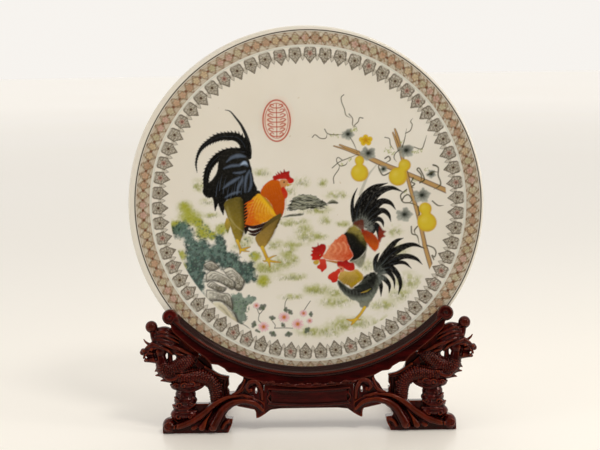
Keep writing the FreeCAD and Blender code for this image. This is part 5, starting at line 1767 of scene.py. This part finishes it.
def leg():
    """A scrolled foot, drawn a little too long and cut level afterwards."""
    c = Carving()
    c.board([(x, w + 0.6) for x, w in LEG_OUTLINE], -7.6, 8.6)
    c.board([(143.4, -3.5), (142.6, 5), (138, 9), (131.4, 12.4), (124, 13), (112, 14), (100, 19),
             (80, -3.5)], -7.6, 6)
    c.tube([(45.6, 20.4, 9, 1.8), (52.8, 26.8, 9.4, 2.6), (63.3, 29.6, 9.8, 3.0), (74.6, 27.6, 10, 3.4),
            (84.2, 21, 10.4, 4.0), (90, 12, 11, 4.4), (93.6, 5.2, 11.2, 4.6), (94.6, 4.2, 11.2, 3.6)])
    c.tube([(63, 34.2, 8, 1.2), (72, 34, 9, 1.6), (80, 33, 9.6, 2.0), (88, 29.4, 10.4, 2.4),
            (95.4, 24.2, 10.8, 2.8), (103.6, 17.4, 11, 3.2), (114.4, 10.6, 11, 3.4),
            (125, 6.4, 10.6, 3.0), (132, 4.8, 10, 2.2)])
    c.tube([(90, 23, 8.4, 1.0), (96, 16.4, 9.4, 2.2), (101.4, 8.6, 10, 3.2), (104.8, 4.2, 10.2, 3.4)])
    c.tube([(107, 9.8, 8.6, 1.2), (110.4, 5.6, 9.4, 2.6), (113, 4.0, 9.4, 2.8)])
    c.blob(136.9, 5.6, 3.4, 7.1, 8.4, 9.6)
    c.tube([(76.6, 9.8, 7.6, 1.2), (79.6, 9.4, 8.6, 1.9), (82.6, 7.0, 8.8, 1.9), (84.6, 3.4, 8.6, 1.8)])
    c.groove([(56, 31.4), (66, 32.2), (76, 31.2), (85, 27.4)], 1.0, 1.5)
    c.groove([(86, 27), (93, 19.6), (98.2, 11.4), (100.4, 3)], 1.5, 2.4)
    c.groove([(132.6, 11.6), (130, 8), (130.4, 3.4)], 0.9, 1.8)
    c.groove([(77.2, 6.6), (79.4, 5.8), (80.6, 3.6)], 0.8, 0.9)
    c.groove([(136.4, 2.6), (140.6, 3.8), (141.4, 7.4), (138.2, 9.4)], 0.7, -0.8)
    return c


def slot_side(side):
    """One side of the small slot in the bracket, from below."""
    return [(51.5 + side * math.cos(t) * (1 - 0.35 * math.sin(t)), 39.2 + 3.2 * math.sin(t))
            for t in np.linspace(-0.5 * math.pi, 0.5 * math.pi, 9)]


def bracket():
    """The scrolled bracket between the leg and the rail, in two boards."""
    c = Carving()
    outline = [(64, 56.4), (64.2, 50.4), (66, 47), (69, 44), (70.8, 40.6), (72.6, 38), (76.4, 35),
               (70, 24), (51.5, 20)]
    c.board(outline + slot_side(1) + [(51.5, 57)], 1.2, 7.4)
    inner = [(52.1, 57), (44.2, 56), (43.8, 20), (52.1, 20), (52.1, 35.6)]
    c.board(inner + slot_side(-1) + [(52.1, 42.8)], 1.2, 7.4)
    c.tube([(45.6, 31, 8, 1.6), (46.6, 40, 8.6, 2.0), (51, 47.6, 9.2, 2.4), (57.6, 47.4, 9.4, 2.4),
            (60.6, 42.4, 9, 2.0), (58.4, 38.6, 8.6, 1.5)])
    c.tube([(74.6, 35.6, 7.4, 1.3), (68.4, 38.4, 8.4, 2.1), (64.4, 43, 8.8, 2.1), (62.6, 49.6, 8, 1.3)])
    c.tube([(47, 52.6, 7.4, 1.2), (54, 53.4, 8.6, 1.7), (61, 53.2, 8, 1.4)])
    c.tube([(54.6, 32.4, 7.4, 1.4), (60.4, 33.6, 8.6, 1.9), (67, 35.8, 8, 1.2)])
    c.blob(56.8, 39.6, 8, 2.2, 2.2, 2.0)
    c.groove([(49.4, 44.4), (53.6, 44.6), (57.2, 42.6)], 0.6, 1.2)
    c.groove([(66, 40), (62.4, 46)], 0.5, 0.9)
    return c


# ---------------------------------------------------------------- rail, apron

RAIL_CENTRE_W = 239.5
LIP_R = 178.0
EDGE_R = 180.5
ARCH_CENTRE_W = 402.0
ARCH_R = 360.0
BOARD_BACK = 1.2
BOARD_FRONT = 9.6
VOLUTE_X = 134.6
VOLUTE_W = 112.3
VOLUTE_R = 7.6
ROSETTE_W = 43.9
RAIL_SECTION = [(0, 1.2), (0, 3.2), (0.6, 4.4), (2.2, 6.2), (4.2, 8.8), (4.8, 10.2), (5.3, 11.8),
                (6.2, 12.5), (7.1, 12.0), (7.7, 10.4), (8.6, 9.6), (10.2, 9.7)]
EDGE_ANGLES = (0, 18.5, 20.7, 23.4, 25.4, 26.2, 27.0, 29.4, 31.3, 32.1, 33.5, 37, 41, 46.9, 48.2, 49.6, 54)
EDGE_RISES = (0, 0, 0.4, -0.5, 1.6, 1.2, -0.1, -0.3, 2.2, 1.6, 0.1, 0.1, 0.1, 0.7, -1.2, -4.5, -10.5)


def rail_edge(angle):
    """Distance from the rail's centre to its scalloped lower edge, in mm.

    EDGE_RISES are steps out from EDGE_R at EDGE_ANGLES about the plate's
    middle, so the distance from the rail's own centre is found by trial.
    """
    sweep = math.radians(angle)
    reach = 196.0
    for _ in range(12):
        x = reach * math.sin(sweep)
        drop = reach * math.cos(sweep) - (RAIL_CENTRE_W - PLATE_W)
        seen = abs(math.degrees(math.atan2(x, drop)))
        wanted = EDGE_R + np.interp(seen, EDGE_ANGLES, EDGE_RISES)
        reach += wanted - math.hypot(x, drop)
    return reach


def front_rail():
    """The moulded arc with a scroll at each end."""
    c = Carving()
    points = []
    angles = np.linspace(-45.4, 45.4, 365)
    for angle in angles:
        edge = rail_edge(angle)
        sweep = math.radians(angle)
        section = [(LIP_R + t, n) for t, n in RAIL_SECTION if LIP_R + t < edge - 1.2]
        while len(section) < len(RAIL_SECTION):
            section.append((edge - 1.2, 9.8))
        section += [(edge - 1.0, 10.6), (edge - 0.3, 10.6), (edge, BOARD_FRONT), (edge, BOARD_BACK)]
        for reach, n in section:
            points.append((reach * math.sin(sweep), RAIL_CENTRE_W - reach * math.cos(sweep), n))
    c.add(points, closed_rings(len(angles), len(RAIL_SECTION) + 4, turned=True))
    for side in (-1, 1):
        scroll = []
        for step in range(30):
            sweep = math.radians(128 - step * 22)
            radius = 5.6 * (1 - step / 40)
            scroll.append((side * (VOLUTE_X + radius * math.cos(sweep)),
                           VOLUTE_W + radius * math.sin(sweep),
                           10.4 + 0.06 * step, 2.1 * (1 - step / 60)))
        c.tube(scroll, 1.0, 12)
        disc = [(side * (VOLUTE_X + VOLUTE_R * math.cos(t)), VOLUTE_W + VOLUTE_R * math.sin(t))
                for t in np.linspace(0, TURN, 40, endpoint=False)]
        c.board(disc, BOARD_BACK, BOARD_FRONT)
        c.tube([(side * 127.6, 107.6, 9, 2.4), (side * 129, 113, 10, 2.4), (side * 132, 117.6, 10.4, 2.0)])
        c.blob(side * 134.4, 112.4, 9.4, 2.0, 2.0, 2.4)
    return c


def cove_painted_shadow(points):
    """How far painted shadow darkens the rail's cove, behind the bead, under the plate's edge."""
    reach = np.hypot(points[:, 0], RAIL_CENTRE_W - points[:, 1])
    cove = np.clip((LIP_R + 5.2 - reach) / 1.4, 0, 1)
    return 0.9 * cove * (np.abs(points[:, 0]) < 124)


def polar(reach, degrees, centre_w):
    """The (x, w) point at an angle to the right of straight down."""
    turn = math.radians(degrees)
    return reach * math.sin(turn), centre_w - reach * math.cos(turn)


def arc_w(centre_w, reach, x):
    """The height at x of the lower side of a circle round the middle line."""
    return centre_w - math.sqrt(reach**2 - x**2)


def arch(half):
    """The arched seam between the relief strip and the apron."""
    return [(x, arc_w(ARCH_CENTRE_W, ARCH_R, x) - 0.4) for x in np.linspace(half, -half, 15)]


def relief_strip():
    """Leaf scrolls either way from a rosette, on a sunk ground."""
    c = Carving()
    top = [polar(192.6, angle, RAIL_CENTRE_W) for angle in np.linspace(-14.2, 14.2, 15)]
    c.board(top + arch(47.4), BOARD_BACK, 8.6)
    c.blob(0, ROSETTE_W, 9.4, 3.4, 2.6, 2.4)
    for petal in range(6):
        turn = petal * math.pi / 3
        c.blob(2.6 * math.cos(turn), ROSETTE_W + 1.6 * math.sin(turn), 10, 1.5, 1.2, 1.6)
    for side in (-1, 1):
        for step in range(1, 7):
            x = 7.2 * step
            w = (arc_w(RAIL_CENTRE_W, 193.0, x) + arc_w(ARCH_CENTRE_W, ARCH_R, x)) / 2
            lift = 1 if step % 2 else -1
            curl = [(x - 4, -0.7, 9.2, 0.8), (x - 0.6, 0.9, 10.2, 1.5), (x + 2.6, 0.2, 9.8, 1.3),
                    (x + 1.2, -0.9, 9.4, 0.8)]
            tendril = [(x - 2, 1.4, 9.0, 0.6), (x + 1.8, 1.7, 9.6, 0.9)]
            for leaf in (curl, tendril):
                c.tube([(side * at, w + rise * lift, n, r) for at, rise, n, r in leaf])
    return c


def apron():
    """A raised field between two beads, on a panel with flared corners."""
    c = Carving()
    low = [(-44.2, 15.4), (-40.5, 18.2), (-37.6, 20.3), (-28.6, 21.3), (-24, 21.4), (24, 21.4),
           (28.6, 21.3), (37.6, 20.3), (40.5, 18.2), (44.2, 15.4)]
    c.board(arch(43.8) + low, BOARD_BACK, 8.4)
    field = [(x, arc_w(ARCH_CENTRE_W, 362.6, x)) for x in np.linspace(36.6, -36.6, 15)]
    c.board(field + [(-36.8, 25), (-34, 24.4), (34, 24.4), (36.8, 25)], 5, 10.2)
    for reach in (363.1, 377.6):
        bead = [(x, arc_w(ARCH_CENTRE_W, reach, x), 10.4, 1.1) for x in np.linspace(-39.4, 39.4, 17)]
        c.tube(bead, 1.1, 12)
    for side in (-1, 1):
        c.tube([(side * 39.6, 40, 9.0, 0.6), (side * 38.2, 36.5, 9.6, 0.9), (side * 40.4, 32, 9.6, 0.9),
                (side * 38.2, 27.5, 9.6, 0.9), (side * 39.6, 25, 9.0, 0.6)])
        c.groove([(side * 42, 19), (side * 36, 22), (side * 28, 22.6)], 0.7, 0.8)
    return c


def build_stand():
    """The carved pieces, each in place of its CAD node."""
    # The last number is the strength of the painted highlight on the carved crests.
    upright = carved_lacquer_material("carved_lacquer_upright", (1.0, 1.0, 0.14), 0.42)
    crosswise = carved_lacquer_material("carved_lacquer_crosswise", (0.14, 1.0, 1.0), 0.14)
    pairs = {"dragon": (dragon(), 0.5), "cloud_pillar": (cloud_pillar(), 0.5), "leg": (leg(), 0.6),
             "bracket": (bracket(), 0.5)}
    for name, (carving, voxel) in pairs.items():
        skin = carving.skin(voxel)
        for side, flip in (("left", True), ("right", False)):
            node = f"{name}_{side}"
            piece = carved(f"carved_{node}", skin, flip)
            if name == "leg":
                cut_level(piece, PAD_PROUD * MM)
            finish_piece(piece, "stand", upright, [node])
    singles = {"cradle_front_rail": (front_rail(), 0.6), "relief_strip": (relief_strip(), 0.5),
               "apron_panel": (apron(), 0.5)}
    for node, (carving, voxel) in singles.items():
        points, faces, relief = carving.skin(voxel)
        if node == "cradle_front_rail":
            # Painted shadow: the cove's relief is lowered so that its lacquer is drawn near black.
            relief = relief - cove_painted_shadow(points)
        piece = carved(f"carved_{node}", (points, faces, relief))
        finish_piece(piece, "stand", crosswise, [node])


# ----------------------------------------------------------------- materials


class Shader:
    """A node material with a Principled shader, built up by short calls."""

    def __init__(self, name):
        self.material = bpy.data.materials.new(name)
        self.material.use_nodes = True
        self.nodes = self.material.node_tree.nodes
        self.links = self.material.node_tree.links
        self.surface = self.nodes["Principled BSDF"]
        self.point = self.nodes.new("ShaderNodeTexCoord").outputs["Object"]

    def node(self, kind, inputs=None, **settings):
        made = self.nodes.new(kind)
        for key, value in settings.items():
            setattr(made, key, value)
        for key, value in (inputs or {}).items():
            self.give(made.inputs[key], value)
        return made

    def give(self, socket, value):
        if isinstance(value, bpy.types.NodeSocket):
            self.links.new(value, socket)
        else:
            socket.default_value = value

    def set(self, **values):
        for key, value in values.items():
            self.give(self.surface.inputs[key.replace("_", " ")], value)

    def stretched(self, x, y, z):
        """Object coordinates scaled apart, so that noise runs like grain."""
        return self.node("ShaderNodeMapping", {"Vector": self.point, "Scale": (x, y, z)}).outputs[0]

    def noise(self, scale, detail=3.0, rough=0.5, vector=None):
        made = self.node("ShaderNodeTexNoise", {
            "Vector": vector or self.point, "Scale": scale, "Detail": detail, "Roughness": rough})
        return made.outputs["Fac"]

    def ramp(self, value, stops):
        made = self.node("ShaderNodeValToRGB", {"Fac": value})
        ramp = made.color_ramp
        while len(ramp.elements) < len(stops):
            ramp.elements.new(0.5)
        for element, (position, colour) in zip(ramp.elements, stops):
            element.position = position
            element.color = (*colour, 1.0)
        return made.outputs["Color"]

    def scaled(self, value, low, high):
        """A value from 0 to 1 spread between low and high."""
        made = self.node("ShaderNodeMapRange", {"Value": value, "To Min": low, "To Max": high})
        return made.outputs["Result"]

    def mixed(self, amount, first, second, blend="MIX"):
        made = self.node("ShaderNodeMix", data_type="RGBA", blend_type=blend)
        self.give(made.inputs[0], amount)
        for socket, value in ((made.inputs[6], first), (made.inputs[7], second)):
            if isinstance(value, (tuple, list, np.ndarray)) and len(value) == 3:
                value = (*value, 1.0)
            self.give(socket, value)
        return made.outputs[2]

    def bump(self, height, distance, strength=1.0):
        made = self.node("ShaderNodeBump", {
            "Height": height, "Distance": distance, "Strength": strength})
        self.give(self.surface.inputs["Normal"], made.outputs["Normal"])


def glaze_colour(shader):
    """Warm white porcelain with faint clouding and a few kiln specks."""
    cloud = shader.noise(9.0, detail=4.0)
    fine = shader.noise(160.0, detail=2.0)
    base = shader.ramp(cloud, [(0.30, linear(233, 226, 212)), (0.70, linear(240, 235, 224))])
    speck = shader.ramp(fine, [(0.20, linear(232, 224, 208)), (0.27, (1.0, 1.0, 1.0))])
    return shader.mixed(1.0, base, speck, blend="MULTIPLY")


def glaze_surface(shader, roughness, specular):
    ripple = shader.noise(30.0, detail=2.0)
    shader.set(Roughness=shader.scaled(ripple, roughness - 0.03, roughness + 0.04))
    shader.set(IOR=1.5, Specular_IOR_Level=specular, Coat_Weight=0.12, Coat_Roughness=0.06)
    shader.surface.inputs["Subsurface Weight"].default_value = 0.05
    shader.surface.inputs["Subsurface Scale"].default_value = 0.004
    shader.surface.inputs["Subsurface Radius"].default_value = (1.0, 0.8, 0.6)
    shader.bump(ripple, 0.00003, 0.4)


def porcelain_material():
    shader = Shader("glazed_porcelain")
    shader.set(Base_Color=glaze_colour(shader))
    glaze_surface(shader, 0.14, 0.45)
    return shader.material


def enamel_material():
    shader = Shader("overglaze_enamel")
    paint = shader.node("ShaderNodeAttribute", attribute_name="paint")
    grain = shader.noise(420.0, detail=2.0)
    worn = shader.node("ShaderNodeMath", {0: paint.outputs["Alpha"],
                                          1: shader.scaled(grain, 0.97, 1.03)}, operation="MULTIPLY")
    shader.set(Base_Color=shader.mixed(worn.outputs[0], glaze_colour(shader), paint.outputs["Color"]))
    glaze_surface(shader, 0.17, 0.2)
    return shader.material


def lacquer(shader, grain, seed_shift):
    """Streaked dark red body colour of lacquered hardwood, and its streaks."""
    along = shader.stretched(*grain)
    streaks = shader.noise(240.0 + seed_shift, detail=5.0, rough=0.6, vector=along)
    clouds = shader.noise(38.0, detail=3.0)
    body = shader.ramp(streaks, [(0.32, linear(28, 2, 3)), (0.52, linear(54, 4, 5)),
                                 (0.72, linear(80, 9, 8))])
    shade = shader.ramp(clouds, [(0.30, (0.6, 0.55, 0.58)), (0.65, (1.0, 1.0, 1.0))])
    shader.set(Roughness=shader.scaled(streaks, 0.13, 0.24))
    shader.set(Coat_Weight=0.12, Coat_Roughness=0.05, Specular_IOR_Level=0.24,
               Specular_Tint=(1.0, 0.42, 0.34, 1.0))
    shader.bump(streaks, 0.00005, 0.4)
    return shader.mixed(1.0, body, shade, blend="MULTIPLY")


def lacquer_material(name, grain, seed_shift=0.0):
    """Plain lacquered boards, with a painted highlight that makes their convex edges a little lighter."""
    shader = Shader(name)
    body = lacquer(shader, grain, seed_shift)
    # Painted highlight: convex edges, found from pointiness, get a lighter orange as if lit.
    convex = shader.node("ShaderNodeNewGeometry").outputs["Pointiness"]
    painted_highlight = shader.ramp(convex, [(0.54, (0.0, 0.0, 0.0)), (0.66, (0.5, 0.5, 0.5))])
    shader.set(Base_Color=shader.mixed(painted_highlight, body, linear(120, 42, 22)))
    return shader.material


def carved_lacquer_material(name, grain, highlight_strength):
    """Lacquer over carving, with painted shade that makes the hollows nearly black and a painted orange
    highlight on the crests.
    """
    shader = Shader(name)
    body = lacquer(shader, grain, 0.0)
    relief = shader.node("ShaderNodeAttribute", attribute_name="relief").outputs["Fac"]
    # Painted shade in the hollows and a painted highlight on the crests, both read from the relief
    # attribute; the last argument sets how strong the painted highlight is.
    painted_shade = shader.ramp(relief, [(0.25, (0.16, 0.08, 0.1)), (0.55, (1.0, 1.0, 1.0))])
    painted_highlight = shader.ramp(relief, [(0.62, (0.0, 0.0, 0.0)), (1.0, (highlight_strength, highlight_strength, highlight_strength))])
    body = shader.mixed(1.0, body, painted_shade, blend="MULTIPLY")
    shader.set(Base_Color=shader.mixed(painted_highlight, body, linear(156, 64, 24)))
    return shader.material


def bare_wood_material():
    shader = Shader("bare_dowel_wood")
    along = shader.stretched(1.0, 1.0, 0.15)
    streaks = shader.noise(500.0, detail=4.0, vector=along)
    shader.set(Base_Color=shader.ramp(streaks, [(0.3, linear(150, 112, 70)), (0.7, linear(206, 170, 122))]))
    shader.set(Roughness=shader.scaled(streaks, 0.55, 0.75))
    shader.bump(streaks, 0.00005, 0.5)
    return shader.material


def steel_material():
    shader = Shader("zinc_plated_steel")
    scratches = shader.noise(900.0, detail=3.0)
    tarnish = shader.noise(120.0, detail=2.0)
    shader.set(Base_Color=shader.ramp(tarnish, [(0.3, linear(158, 156, 148)), (0.7, linear(196, 196, 192))]))
    shader.set(Metallic=1.0, Roughness=shader.scaled(scratches, 0.28, 0.45))
    shader.bump(scratches, 0.00002, 0.4)
    return shader.material


def felt_material():
    shader = Shader("dark_felt")
    fibres = shader.noise(1600.0, detail=4.0, rough=0.7)
    shader.set(Base_Color=shader.ramp(fibres, [(0.3, linear(28, 24, 22)), (0.7, linear(62, 54, 50))]))
    shader.set(Roughness=shader.scaled(fibres, 0.85, 1.0), Sheen_Weight=0.3)
    shader.bump(fibres, 0.0002, 0.8)
    return shader.material


FLOOR_GLOW = 0.17


def floor_material():
    """A pale floor that glows a little toward its far edge."""
    shader = Shader("pale_floor")
    cloud = shader.noise(0.6, detail=1.0)
    shader.set(Base_Color=shader.ramp(cloud, [(0.3, linear(242, 237, 227)), (0.7, linear(245, 241, 233))]))
    shader.set(Roughness=0.3)
    away = shader.node("ShaderNodeVectorMath", {0: shader.point}, operation="LENGTH")
    far = shader.node("ShaderNodeMapRange", {"Value": away.outputs["Value"], "From Min": 1.2,
                                            "From Max": 9.0, "To Min": 0.05, "To Max": FLOOR_GLOW})
    shader.set(Emission_Color=(1.0, 0.97, 0.93, 1.0), Emission_Strength=far.outputs["Result"])
    return shader.material


# ------------------------------------------------------------- studio, camera

SKY_FRONT = (0.12, 0.113, 0.10)
SKY_BACK = (0.93, 0.90, 0.86)
FLOOR_REACH = 30.0
CAMERA_DISTANCE = 1.147
CAMERA_X = -6.2
CAMERA_W = 200.2
CAMERA_ROLL = 0.9
CAMERA_LENS = 70.0
CAMERA_SENSOR = 36.0
CAMERA_SEES = 50.0


def camera():
    """Looks square at the rim's plane, a little below the plate's middle."""
    target = place([(CAMERA_X, CAMERA_W, 0.0)])[0]
    roll = math.radians(CAMERA_ROLL)
    across = RIGHT * math.cos(roll) - UP * math.sin(roll)
    above = RIGHT * math.sin(roll) + UP * math.cos(roll)
    spot = target + FORWARD * CAMERA_DISTANCE
    data = bpy.data.cameras.new("camera")
    data.lens = CAMERA_LENS
    data.sensor_width = CAMERA_SENSOR
    data.clip_end = CAMERA_SEES
    taker = new_object("camera", data)
    matrix = Matrix.Identity(4)
    for row in range(3):
        matrix[row][0] = across[row]
        matrix[row][1] = above[row]
        matrix[row][2] = FORWARD[row]
        matrix[row][3] = spot[row]
    taker.matrix_world = matrix
    bpy.context.scene.camera = taker


def area_light(name, spot, aim, size, watts, colour):
    """A rectangular soft box at a spot, turned toward its aim."""
    data = bpy.data.lights.new(name, "AREA")
    data.shape = "RECTANGLE"
    data.size, data.size_y = size
    data.energy = watts
    data.color = colour
    lamp = new_object(name, data)
    lamp.location = spot
    lamp.rotation_euler = (Vector(aim) - Vector(spot)).to_track_quat("-Z", "Y").to_euler()


def studio():
    """A pale floor, soft boxes above and to each side, and a sky that is dark toward the camera and bright
    behind and above.
    """
    floor = bpy.data.meshes.new("floor")
    grid = bmesh.new()
    bmesh.ops.create_circle(grid, cap_ends=True, radius=FLOOR_REACH, segments=96)
    grid.to_mesh(floor)
    grid.free()
    floor.materials.append(floor_material())
    new_object("floor", floor)

    world = bpy.data.worlds.new("pale_room")
    bpy.context.scene.world = world
    world.use_nodes = True
    nodes = world.node_tree.nodes
    links = world.node_tree.links
    toward = nodes.new("ShaderNodeTexCoord").outputs["Generated"]
    rise = nodes.new("ShaderNodeVectorMath")
    rise.operation = "DOT_PRODUCT"
    rise.inputs[1].default_value = (0.0, 0.75, 0.6)
    links.new(toward, rise.inputs[0])
    spread = nodes.new("ShaderNodeMapRange")
    spread.interpolation_type = "SMOOTHSTEP"
    spread.inputs["From Min"].default_value = -0.5
    spread.inputs["From Max"].default_value = 0.6
    links.new(rise.outputs["Value"], spread.inputs["Value"])
    ramp = nodes.new("ShaderNodeValToRGB")
    ramp.color_ramp.elements[0].color = (*SKY_FRONT, 1.0)
    ramp.color_ramp.elements[1].color = (*SKY_BACK, 1.0)
    links.new(spread.outputs["Result"], ramp.inputs["Fac"])
    links.new(ramp.outputs["Color"], nodes["Background"].inputs["Color"])
    area_light("soft_top", (0.55, -0.8, 1.5), (0, 0, 0.15), (0.42, 0.3), 8.0, (1.0, 0.96, 0.9))
    area_light("soft_left", (-1.5, -0.6, 0.5), (0, 0, 0.2), (0.22, 0.6), 3.2, (1.0, 0.97, 0.93))
    area_light("soft_right", (1.3, -0.45, 0.7), (0, 0, 0.1), (0.16, 0.5), 3.6, (1.0, 0.95, 0.88))
    bpy.context.scene.view_settings.view_transform = "Standard"


# ------------------------------------------------------------------ assembly


def finish_cad_nodes():
    """Gives each CAD node that stays its finish."""
    crosswise = lacquer_material("lacquer_grain_crosswise", (0.12, 1.0, 1.0))
    lengthwise = lacquer_material("lacquer_grain_lengthwise", (1.0, 0.12, 1.0), 20.0)
    upright = lacquer_material("lacquer_grain_upright", (1.0, 1.0, 0.12), 40.0)
    finishes = {
        "cradle": crosswise,
        "relief": crosswise,
        "apron_panel": crosswise,
        "rear_stretcher": crosswise,
        "bracket": upright,
        "leg": upright,
        "cloud": upright,
        "dragon_left": upright,
        "dragon_right": upright,
        "rear_strut": upright,
        "base_runner": lengthwise,
        "rail_pins": steel_material(),
        "foot_pads": felt_material(),
    }
    dowels = bare_wood_material()
    for name, node in frame["nodes"].items():
        if name == "plate":
            continue
        material = dowels if name.endswith("dowels") else None
        if name.endswith("screws"):
            material = finishes["rail_pins"]
        for start, finish in finishes.items():
            if material is None and name.startswith(start):
                material = finish
        node.data.materials.clear()
        node.data.materials.append(material)


def build_plate():
    """The porcelain plate in place of its CAD node, and its enamel."""
    porcelain = porcelain_material()
    enamel = enamel_material()
    finish_piece(plate_porcelain(), "plate", porcelain, ["plate"])
    for piece in picture_pieces() + border_pieces():
        finish_piece(piece, "plate", enamel)


camera()
studio()
finish_cad_nodes()
build_plate()
build_stand()
